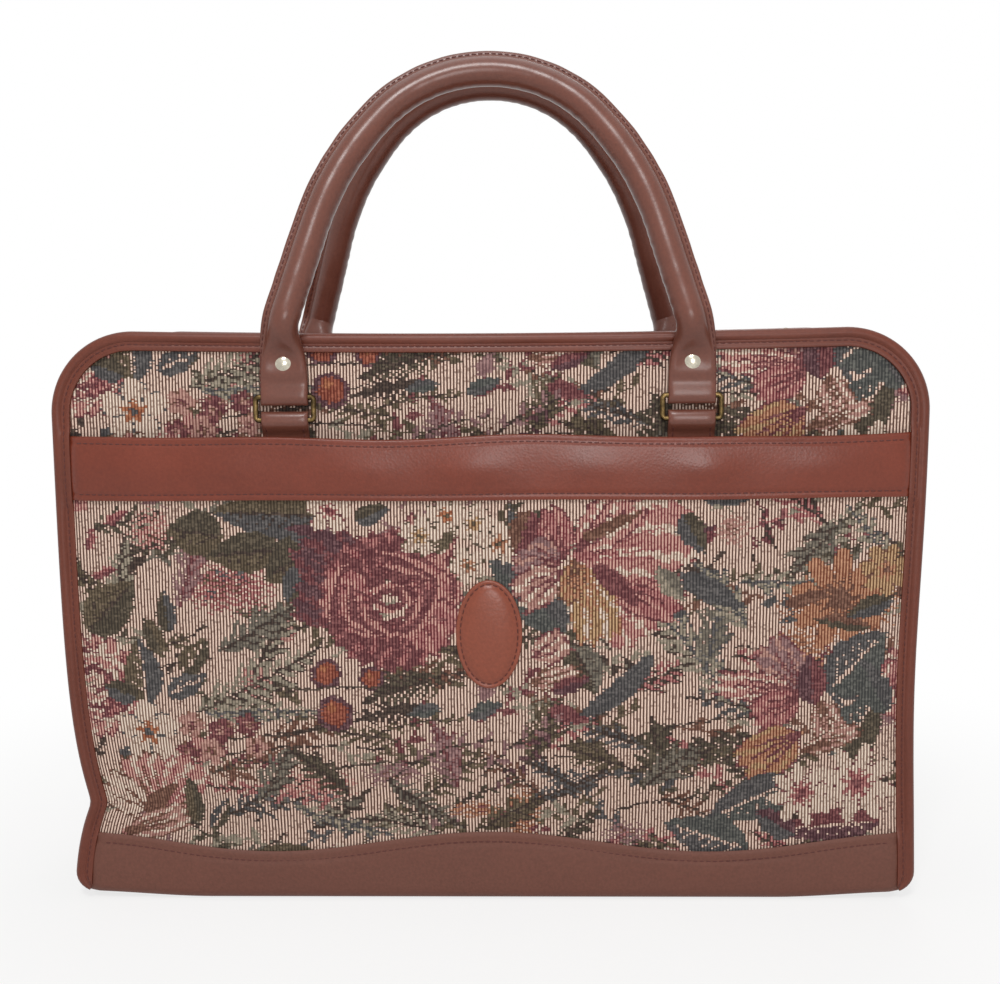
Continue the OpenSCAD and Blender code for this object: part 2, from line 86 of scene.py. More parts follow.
# how far the ends of the pocket, the band and the base trim go under the flanges
TUCK = 2.2
GUSSET_IN = HALF_W - side_of("right_gusset", 1, 0)
LINING_IN = HALF_W - side_of("lining", 1, 0)
LINING_Y, LINING_T = side_of("lining", 1, 1), 0.8
BOARD_IN = 9.8
# where the panels end inside the outline, where their corners are cut, and how far the back stands out
PANEL_IN, PANEL_CUT = 6.0, 6.4
BACK_SWELL, BACK_SWELL_H = 2.4, 232.0
# rows of cloth that other pieces cover, and how much coarser the rows of the hidden sides are
HIDDEN_ROW, COARSER = 9.0, 1.4
STITCH_W, STITCH_H = 0.75, 0.55

# The base trim's waved edge and the swell of the pocket, as in the part's source
TRIM_H, TRIM_WAVE, TRIM_WAVE_L = 29.5, 5.0, 215.0
TRIM_FOLD = 6.0
POCKET_BULGE, RISE_FROM, RISE_TO = 8.0, 36.0, 101.1

# The handle: strap end, gather, sloping leg, shoulder and crown in a leaning plane
STRAP_X = (side_of("front_right_tab", 0, 0) + side_of("front_right_tab", 1, 0)) / 2
STRAP_W = side_of("front_right_tab", 1, 0) - side_of("front_right_tab", 0, 0)
STRAP_Y = 51.5
LOWER_BAR, UPPER_BAR = 239.5, 250.5
LOOP_R, LOOP_L, WIRE_R = 3.0, 4.1, 1.3
STRAP_TOP, RIVET_Z = 270.0, 266.2
ARCH_Y, ARCH_Z, ARCH_LEAN = 57.7, 289.0, 18.0
CROWN_R, CROWN_ANGLE = 68.0, 42.5
SHOULDER_R, LEG_L, LEG_ANGLE = 139.0, 47.0, 16.0
GRIP_R, GRIP_FLANGE = 7.2, 3.4
TAB_CORNER, PADDING, RIVET_REACH = 4.0, 1.3, 6.5

# The photograph's camera: place looked at, distance, angles, and focal length for an image of 1000 x 984
LOOK_AT = (5.5, -48.0, 204.2)
LOOK_FROM, LOOK_DOWN, LOOK_ROUND, LOOK_ROLL = 644.0, 6.8, 1.1, -0.37
IMAGE_W, FOCAL_PX, SENSOR = 1000, 1340.0, 36.0


def length_of(label, what, size):
    """Length setting in metres."""
    return bpy.props.FloatProperty(name=label, description=what, default=size, unit="LENGTH")


def colour_of(label, what, red, green, blue):
    """Colour setting from the 0 to 255 values that an artist reads off a screen."""
    shown = [x / 255 for x in (red, green, blue)]
    return bpy.props.FloatVectorProperty(
        name=label, description=what, size=3, subtype="COLOR_GAMMA", min=0, max=1, default=shown)


class BriefcaseForm(bpy.types.PropertyGroup):
    """How the soft case sits."""

    pinch_left: length_of("Left pinch", "How far the left side is drawn in above the base", 0.0106)
    pinch_right: length_of("Right hollow", "How far the right side is drawn in halfway up", 0.0032)
    sag: length_of("Top sag", "How far the top edge sags in the middle", 0.002)
    corner_lift: length_of("Corner lift", "How far the lower corners lift off the floor", 0.003)
    ripple: length_of("Ripple", "Height of the soft waves in cloth and leatherette", 0.0006)
    tuck: length_of("Side tuck", "How far the sides fold inwards between front and back", 0.005)
    stitch: length_of("Stitch length", "Length of one stitch", 0.0024)
    stitch_gap: length_of("Stitch gap", "Gap between two stitches", 0.0008)


class BriefcaseCloth(bpy.types.PropertyGroup):
    """The tapestry's weave and its repeat."""

    rib: length_of("Rib", "Distance between two ribs", 0.00155)
    weft: length_of("Weft", "Height of one row of the weave", 0.00075)
    repeat_across: length_of("Repeat across", "Width after which the bouquet comes again", 0.412)
    repeat_up: length_of("Repeat up", "Height after which the bouquet comes again", 0.178)
    panel_shift: length_of("Panel shift", "How far up the cloth the front panel was cut", 0.157)


class BriefcaseColours(bpy.types.PropertyGroup):
    """The finishes."""

    handle: colour_of("Handles", "Leatherette of the handles and tabs", 106, 62, 50)
    band: colour_of("Band", "Leatherette of the band and the zip strips", 112, 50, 34)
    badge: colour_of("Badge", "Leatherette of the badge", 130, 66, 47)
    piping: colour_of("Piping", "Leatherette of the piping", 100, 48, 33)
    base: colour_of("Base", "Leatherette round the base", 104, 65, 54)
    thread: colour_of("Thread", "Sewing thread", 78, 34, 28)
    lining: colour_of("Lining", "Lining cloth", 92, 68, 54)
    board: colour_of("Board", "Stiffening board", 156, 144, 125)
    cord: colour_of("Cord", "Filler cord of the handles", 216, 206, 188)
    tape: colour_of("Zip tape", "Woven tape of the zip", 76, 53, 43)
    brass: colour_of("Antique brass", "Rings and zip", 122, 100, 64)
    rivet: colour_of("Rivets", "Rivet caps", 214, 206, 188)
    floor: colour_of("Floor", "Ground that the case stands on", 244, 243, 241)


def form():
    return bpy.context.scene.briefcase_form


def weave_of():
    return bpy.context.scene.briefcase_cloth


def finish():
    return bpy.context.scene.briefcase_colours


def linear(colour):
    """Screen colour from 0 to 1 as the linear colour that shaders take."""
    c = np.asarray(colour, float)
    return np.where(c <= 0.04045, c / 12.92, ((c + 0.055) / 1.055) ** 2.4)


def smooth(t):
    t = np.clip(t, 0, 1)
    return t * t * (3 - 2 * t)


# Soft shape of the case

WAIST_Z, WAIST_UP, WAIST_DOWN, WAIST_FROM = 50.0, 36.0, 22.0, 110.0
HOLLOW_Z, HOLLOW_H = 105.0, 75.0
SAG_FROM = 234.0
LIFT_FROM, LIFT_H = 140.0, 34.0


def slack(x, z):
    """Where the soft case lets a point of it go: pinched above the base, sagging along the top."""
    fold = np.hypot(z - WAIST_Z, 2.5) - 2.5
    waist = np.exp(-fold / np.where(z > WAIST_Z, WAIST_UP, WAIST_DOWN))
    hollow = np.exp(-((z - HOLLOW_Z) / HOLLOW_H) ** 2)
    left = smooth((-x - WAIST_FROM) / (HALF_W - WAIST_FROM))
    right = smooth((x - WAIST_FROM) / (HALF_W - WAIST_FROM))
    span = np.clip(1 - (x / (HALF_W - TOP_R)) ** 2, 0, 1)
    lift = smooth((np.abs(x) - LIFT_FROM) / (HALF_W - LIFT_FROM)) * (1 - smooth(z / LIFT_H))
    moved_x = x + (form().pinch_left * left * waist - form().pinch_right * right * hollow) / MM
    moved_z = z - form().sag / MM * span * smooth((z - SAG_FROM) / (TOP - SAG_FROM))
    return moved_x, moved_z + form().corner_lift / MM * lift


def ripple(x, z):
    """Soft waves of cloth over a board."""
    wave = np.sin(x / 23 + z / 41) + np.sin(x / 37 - z / 29 + 1) + 0.6 * np.sin(x / 13 + z / 19 + 2)
    return form().ripple / MM * wave / 2


def trim_edge(x):
    return TRIM_H + TRIM_WAVE * np.cos(2 * math.pi * x / TRIM_WAVE_L)


def swell(x, z):
    """How far the pocket stands off the front."""
    rise = np.sin(math.pi / 2 * np.clip((z - RISE_FROM) / (RISE_TO - RISE_FROM), 0, 1))
    return POCKET_BULGE * np.clip(1 - (x / TRIM_HALF) ** 2, 0, 1) ** 0.6 * rise


def outline(step):
    """The case's outline from the lower right corner over the top to the lower left, with inward normals."""
    def arc(cx, cz, radius, first, last):
        count = max(5, int(radius * math.radians(last - first) / step) + 2)
        turn = np.radians(np.linspace(first, last, count))
        out = np.stack([np.cos(turn), np.sin(turn)], 1)
        return np.array([cx, cz]) + radius * out, -out

    def line(start, end, normal):
        count = int(math.dist(start, end) / step) + 2
        share = np.linspace(0, 1, count)[1:-1, None]
        return np.array(start) * (1 - share) + np.array(end) * share, np.tile(normal, (count - 2, 1))

    low, high, inner = LOW_R, TOP - TOP_R, HALF_W - TOP_R
    runs = [arc(HALF_W - LOW_R, low, LOW_R, -90, 0), line((HALF_W, low), (HALF_W, high), (-1.0, 0.0)),
            arc(inner, high, TOP_R, 0, 90), line((inner, TOP), (-inner, TOP), (0.0, -1.0)),
            arc(-inner, high, TOP_R, 90, 180), line((-HALF_W, high), (-HALF_W, low), (1.0, 0.0)),
            arc(LOW_R - HALF_W, low, LOW_R, 180, 270)]
    return np.concatenate([r[0] for r in runs]), np.concatenate([r[1] for r in runs])


# Mesh tools

def side_name(way):
    return "front" if way < 0 else "back"


def distances(points):
    """How far along its line each point lies."""
    return np.concatenate([[0], np.cumsum(np.linalg.norm(np.diff(points, axis=0), axis=1))])


def unit(ways):
    return ways / np.linalg.norm(ways, axis=1, keepdims=True)


def pick(*pieces):
    """Selects these pieces alone, the first of them active."""
    bpy.ops.object.select_all(action="DESELECT")
    for piece in pieces:
        piece.select_set(True)
    bpy.context.view_layer.objects.active = pieces[0]


def edit(piece, *steps):
    """Runs edit-mode steps on one piece with all of it selected."""
    pick(piece)
    bpy.ops.object.mode_set(mode="EDIT")
    bpy.ops.mesh.select_all(action="SELECT")
    for step in steps:
        step()
    bpy.ops.object.mode_set(mode="OBJECT")


def apply_modifier(piece, kind, **values):
    """Adds a modifier, sets it up and applies it."""
    pick(piece)
    made = piece.modifiers.new(kind.title(), kind)
    for key, value in values.items():
        setattr(made, key, value)
    bpy.ops.object.modifier_apply(modifier=made.name)


def grid(name, columns, rows):
    """Flat grid piece, and the share across and up of each of its points."""
    bpy.ops.object.select_all(action="DESELECT")
    bpy.ops.mesh.primitive_grid_add(x_subdivisions=columns, y_subdivisions=rows, size=2)
    piece = bpy.context.object
    piece.name = piece.data.name = name
    co = np.empty(len(piece.data.vertices) * 3, np.float32)
    piece.data.vertices.foreach_get("co", co)
    share = (co.reshape(-1, 3)[:, :2].astype(float) + 1) / 2
    return piece, share[:, 0], share[:, 1]


def face_middles(mesh):
    """Middles of a mesh's faces, one row each."""
    middles = np.empty(len(mesh.polygons) * 3, np.float32)
    mesh.polygons.foreach_get("center", middles)
    return middles.reshape(-1, 3).astype(float)


def place(piece, points):
    """Moves a piece's points to places in millimetres."""
    piece.data.vertices.foreach_set("co", (np.asarray(points) * MM).astype(np.float32).ravel())
    piece.data.update()


def smooth_shade(piece, angle=None):
    pick(piece)
    if angle is None:
        bpy.ops.object.shade_smooth()
    else:
        bpy.ops.object.shade_smooth_by_angle(angle=math.radians(angle))


def outward():
    bpy.ops.mesh.normals_make_consistent(inside=False)


def weld():
    bpy.ops.mesh.remove_doubles(threshold=1e-6)


def close_ends():
    bpy.ops.mesh.select_all(action="DESELECT")
    bpy.ops.mesh.select_non_manifold()
    bpy.ops.mesh.fill_holes(sides=0)
    bpy.ops.mesh.select_all(action="SELECT")


def loft(name, rings):
    """Closed piece through rings of points, each ring closed and both ends filled."""
    count, points = rings.shape[:2]
    piece, _, _ = grid(name, points, count - 1)
    place(piece, np.concatenate([rings, rings[:, :1]], 1).reshape(-1, 3))
    edit(piece, weld, close_ends, outward)
    smooth_shade(piece, 50)
    return piece


def dress(piece, finish_material):
    """Gives a piece its one material."""
    piece.data.materials.clear()
    piece.data.materials.append(finish_material)


def dress_node(node, finish_material):
    """Gives a carried-over CAD node its material."""
    dress(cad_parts[node], finish_material)


def finish_piece(piece, body, slot, finish_material, *nodes):
    """Gives a piece its material and its body, and hides the nodes that it stands for."""
    dress(piece, finish_material)
    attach(piece, body)
    if nodes:
        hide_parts(*nodes)


def stitches(name, points, normals, body, slot, width=STITCH_W):
    """Row of sewn stitches along a line of points, each a small bead of thread that sits on the surface.
    The normals are one for each point, or one for the whole row."""
    normals = np.broadcast_to(np.asarray(normals, float), points.shape)
    along = distances(points)
    length, gap = form().stitch / MM, form().stitch_gap / MM
    count = max(1, int(along[-1] / (length + gap)))
    middles = (np.arange(count) + 0.5) * along[-1] / count

    def at(values, where):
        return np.stack([np.interp(where, along, values[:, k]) for k in range(3)], 1)

    centre = at(points, middles)
    end, start = np.minimum(middles + length / 2, along[-1]), np.maximum(middles - length / 2, 0)
    ahead = unit(at(points, end) - at(points, start))
    up = at(normals, middles)
    up = unit(up - (up * ahead).sum(1, keepdims=True) * ahead)
    across = np.cross(up, ahead)
    bpy.ops.object.select_all(action="DESELECT")
    bpy.ops.mesh.primitive_uv_sphere_add(segments=6, ring_count=5, radius=1)
    bead = bpy.context.object
    co = np.array([v.co for v in bead.data.vertices])
    # sorted, because the sphere lists its faces in another order on every run
    faces = sorted(tuple(p.vertices) for p in bead.data.polygons)
    bpy.data.objects.remove(bead)
    co[:, 2] = np.sign(co[:, 2]) * np.abs(co[:, 2]) ** 0.6
    sides = ((2, length, ahead), (0, width, across), (1, STITCH_H, up))
    spread = sum(co[None, :, axis, None] * size / 2 * way[:, None] for axis, size, way in sides)
    verts = ((centre[:, None] + spread).reshape(-1, 3)) * MM
    mesh = bpy.data.meshes.new(name)
    beads = [tuple(i + k * len(co) for i in face) for k in range(count) for face in faces]
    mesh.from_pydata(verts.tolist(), [], beads)
    row = bpy.data.objects.new(name, mesh)
    bpy.context.collection.objects.link(row)
    edit(row, outward)
    smooth_shade(row)
    finish_piece(row, body, slot, material("Sewing thread", thread_material, finish().thread))


# The tapestry: colour between the ribs, colour of the ribs, and how far the ribs show

YARNS = {
    "ground": ((94, 63, 53), (240, 212, 194), 1.0),
    "white": ((128, 100, 86), (242, 222, 204), 1.0),
    "pink": ((112, 48, 52), (216, 170, 156), 0.95),
    "crimson": ((98, 32, 42), (198, 142, 134), 0.8),
    "plum": ((64, 37, 43), (128, 94, 96), 0.45),
    "wine": ((76, 35, 41), (150, 98, 96), 0.5),
    "blush": ((128, 84, 77), (208, 166, 152), 0.7),
    "rust": ((108, 56, 38), (204, 154, 122), 0.8),
    "gold": ((98, 64, 40), (208, 172, 132), 0.9),
    "orange": ((114, 58, 38), (192, 130, 95), 0.6),
    "olive": ((63, 53, 41), (126, 110, 90), 0.5),
    "moss": ((54, 47, 39), (110, 98, 82), 0.45),
    "slate": ((55, 53, 54), (114, 109, 107), 0.5),
    "teal": ((56, 57, 56), (113, 112, 106), 0.5),
    "grey": ((79, 73, 66), (142, 132, 117), 0.5),
    "ink": ((47, 37, 34), (98, 82, 72), 0.4),
    "fern": ((104, 96, 83), (180, 166, 147), 0.6),
    "mauve": ((102, 71, 73), (174, 138, 134), 0.6),
    "brown": ((78, 49, 40), (146, 108, 91), 0.5),
    "brick": ((100, 42, 32), (176, 108, 86), 0.6),
}
# the yarn that lights a petal of another yarn
LIT = {"pink": "white", "crimson": "pink", "rust": "gold", "mauve": "blush", "blush": "white",
       "gold": "white", "plum": "wine", "wine": "crimson", "white": "ground"}


# threads before their small shifts come again
THREADS = 4096


class Cloth:
    """A cut of the tapestry: the place of every crossing of the weave, and the yarns that show there."""

    def __init__(self, across, up):
        chance = np.random.default_rng(11)
        column = np.round(across / (weave_of().rib / MM)).astype(int) % THREADS
        row = np.round(up / (weave_of().weft / MM)).astype(int) % THREADS
        self.v = up + chance.uniform(-0.6, 0.6, THREADS)[column]
        self.u = across + chance.uniform(-0.8, 0.8, THREADS)[row] + chance.uniform(-0.3, 0.3, len(across))
        self.v = self.v + chance.uniform(-0.35, 0.35, len(across))
        self.field = np.empty((len(self.u), 3))
        self.thread = np.empty((len(self.u), 3))
        self.rib = np.empty(len(self.u))
        self.lay(slice(None), "ground")

    def lay(self, where, yarn):
        self.field[where], self.thread[where], self.rib[where] = YARNS[yarn]

    def around(self, x, z, turn, reach):
        """Crossings within reach of a place, with their distances along and across a direction."""
        found = np.nonzero((np.abs(self.u - x) < reach) & (np.abs(self.v - z) < reach))[0]
        du, dv = self.u[found] - x, self.v[found] - z
        c, s = math.cos(math.radians(turn)), math.sin(math.radians(turn))
        return found, du * c + dv * s, dv * c - du * s


def leaf(cloth, x, z, turn, length, width, upper, lower, vein="ground", curl=0.0):
    """Leaf from its foot: two yarns, a midrib and side veins."""
    found, along, across = cloth.around(x, z, turn, 1.2 * length)
    t = along / length
    across = across - curl * length * t * (1 - t) * 4
    inside = (t > 0) & (t < 1)
    t = np.clip(t, 0, 1)
    half = width / 2 * np.sin(math.pi * t ** 0.75) ** 0.8
    inside &= np.abs(across) < half
    cloth.lay(found[inside & (across >= 0)], upper)
    cloth.lay(found[inside & (across < 0)], lower)
    if vein:
        middle = inside & (np.abs(across) < 0.65) & (t > 0.06) & (t < 0.86)
        side = (t * length / 5.5 - np.abs(across) / 6.0) % 1
        sides = inside & (side < 0.16) & (np.abs(across) < 0.62 * half) & (t > 0.15) & (t < 0.8)
        cloth.lay(found[middle | (sides & (across > 0))], vein)


def petal(cloth, x, z, turn, length, width, yarn, edge="wine", veins=3):
    """Broad petal from its foot, with a ruffled outer edge, a drawn rim and veins that fan out."""
    found, along, across = cloth.around(x, z, turn, 1.25 * length)
    t = along / length
    s = np.clip(t, 0, 1)
    half = width / 2 * np.sqrt(np.clip(1 - (2 * s - 1.25) ** 2 / 1.6, 0, 1)) * np.clip(s * 4, 0, 1)
    tip = 1 - 0.05 * np.cos(across / width * 22)
    inside = (t > 0) & (t < tip) & (np.abs(across) < half)
    cloth.lay(found[inside], yarn)
    lean = across / width / np.maximum(s, 0.2) ** 0.7
    streak = np.sin(lean * 15 + 1.5 * np.sin(7 * s + turn)) + 0.5 * np.sin(along * 0.9 + across * 0.5)
    cloth.lay(found[inside & (streak > 0.45) & (t > 0.2)], LIT[yarn])
    rim = inside & ((np.abs(across) > half - 1.0) | (t > tip - 1.1 / length))
    cloth.lay(found[rim & (streak < 0.9)], edge)
    for k in range(veins):
        way = (k - (veins - 1) / 2) / veins * 0.9
        line = np.abs(across - way * width * s ** 0.8) < 0.75 * (1.1 - 0.6 * s)
        cloth.lay(found[inside & line & (t > 0.05) & (t < 0.66 + 0.14 * (k % 2))], edge)


def crescent(cloth, x, z, turn, radius, thick, span, yarn, squash=0.85):
    """Lit edge of a petal."""
    found, along, across = cloth.around(x, z, 0, 1.2 * radius + thick)
    across = across / squash
    far = np.hypot(along, across)
    angle = (np.degrees(np.arctan2(across, along)) - turn + 180) % 360 - 180
    share = np.clip(1 - np.abs(angle) / (span / 2), 0, 1)
    wave = radius * (1 + 0.05 * np.cos(np.radians(angle) * 5 + turn))
    cloth.lay(found[np.abs(far - wave) < thick / 2 * np.sqrt(share)], yarn)


def rose(cloth, x, z, size, base, dark, light, glow, seed=1):
    """Full rose: overlapping dark petals with lit edges that wind in to the heart."""
    for k in range(7):
        turn = 360 * k / 7 + 20
        c, s = math.cos(math.radians(turn)), math.sin(math.radians(turn))
        petal(cloth, x + 0.2 * size * c, z + 0.2 * size * s, turn, 0.82 * size, 0.85 * size,
              base if k % 3 else glow, dark, 2)
    chance = np.random.default_rng(seed)
    turn = 40.0
    for k in range(13):
        radius = size * (0.92 - 0.065 * k)
        cx, cz = x + chance.uniform(-0.1, 0.1) * size, z + chance.uniform(-0.1, 0.1) * size
        crescent(cloth, cx, cz, turn + 20, radius - 0.07 * size, 0.16 * size, 140, base if k % 2 else dark)
        crescent(cloth, cx, cz, turn, radius, 0.1 * size, 80 + chance.uniform(-20, 40), light, 0.8)
        turn += 137 + chance.uniform(-25, 25)


def daisy(cloth, x, z, size, petals, yarn, heart, edge="ink", turn=0.0, point=0.6):
    """Small open flower with a coloured heart; its petals are round, or pointed where point is over 1."""
    found, along, across = cloth.around(x, z, turn, 1.1 * size)
    far = np.hypot(along, across)
    lobe = np.abs(np.cos(np.arctan2(across, along) * petals / 2))
    rim = size * (0.5 + 0.5 * lobe ** point)
    cloth.lay(found[(far < rim + 0.7) & (lobe < 0.8)], edge)
    cloth.lay(found[far < rim], yarn)
    cloth.lay(found[(lobe < 0.13) & (far < rim) & (far > 0.3 * size)], edge)
    cloth.lay(found[far < size * (0.2 + 0.22 * lobe ** 3)], heart)
    cloth.lay(found[far < 0.13 * size], edge)


def tint(cloth, x, z, width, height, yarn, ragged=0.35):
    """Patch of tinted ground with ragged ends along the ribs."""
    found, along, across = cloth.around(x, z, 0, 0.6 * max(width, height))
    wild = np.sin(along * 3.7) * np.cos(along * 1.3 + across * 0.2)
    far = np.hypot(along / (width / 2), across / (height / 2)) + ragged * wild
    dash = np.sin(across * 2.3 + 2.5 * np.sin(along * 0.55)) > -0.35
    cloth.lay(found[(far < 0.85) & dash], yarn)
    cloth.lay(found[(far < 0.7) & ~dash & (wild > 0.25)], "brown")


def fern(cloth, x, z, turn, length, reach, yarn, stalk="ink", curl=0.0, pitch=5.5, fan=46.0, full=0.3):
    """Frond or lacy twig: a bent stalk with slim leaflets on both sides."""
    found, along, across = cloth.around(x, z, turn, length + reach)
    t = along / length
    across = across - curl * length * t * t
    out = np.abs(across)
    sine, tangent = math.sin(math.radians(fan)), math.tan(math.radians(fan))
    foot = along - out / tangent + np.where(across > 0, pitch / 2, 0)
    uneven = 0.8 + 0.2 * np.sin(foot // pitch * 2.4)
    limit = reach * np.sin(math.pi * np.clip(foot / length, 0, 1) ** 0.6) * uneven
    part = out / sine / np.maximum(limit, 1e-6)
    row = np.abs((foot / pitch) % 1 - 0.5) * pitch * sine
    slim = pitch * sine * full * np.sqrt(np.clip(np.sin(math.pi * np.clip(part, 0, 1) ** 0.7), 0, 1))
    reached = (foot > 0) & (foot < length)
    cloth.lay(found[reached & (part < 1.05) & (row < slim + 0.6) & (across < 0) & (full > 0.28)], stalk)
    cloth.lay(found[reached & (part < 1) & (row < slim)], yarn)
    cloth.lay(found[(t > -0.02) & (t < 1) & (out < 0.6)], stalk)


def berry(cloth, x, z, size, yarn="brick", edge="plum"):
    """Round fruit with a dark rim and a lit middle."""
    found, along, across = cloth.around(x, z, 0, size + 1)
    far = np.hypot(along, across)
    cloth.lay(found[far < size], edge)
    cloth.lay(found[far < 0.72 * size], yarn)
    cloth.lay(found[np.hypot(along + 0.2 * size, across - 0.3 * size) < 0.25 * size], "orange")


def stem(cloth, x, z, turn, length, yarn="ink", curl=0.1, thick=1.0):
    """Thin bent stalk."""
    found, along, across = cloth.around(x, z, turn, 1.2 * length)
    t = along / length
    across = across - curl * length * t * (1 - t) * 4
    cloth.lay(found[(t > 0) & (t < 1) & (np.abs(across) < thick / 2)], yarn)


def sprig(cloth, x, z, turn, length, yarn, size=5.0, curl=0.08, stalk="ink"):
    """Stalk with small leaves on alternate sides."""
    stem(cloth, x, z, turn, length, stalk, curl)
    c, s = math.cos(math.radians(turn)), math.sin(math.radians(turn))
    count = max(3, int(length / (0.75 * size)))
    for k in range(1, count + 1):
        t = k / count
        bend = curl * length * t * (1 - t) * 4
        side = 24 if k == count else 48 if k % 2 else -48
        leaf(cloth, x + c * length * t - s * bend, z + s * length * t + c * bend, turn + side,
             size * (1.25 - 0.4 * t), 0.42 * size, yarn, yarn, None)


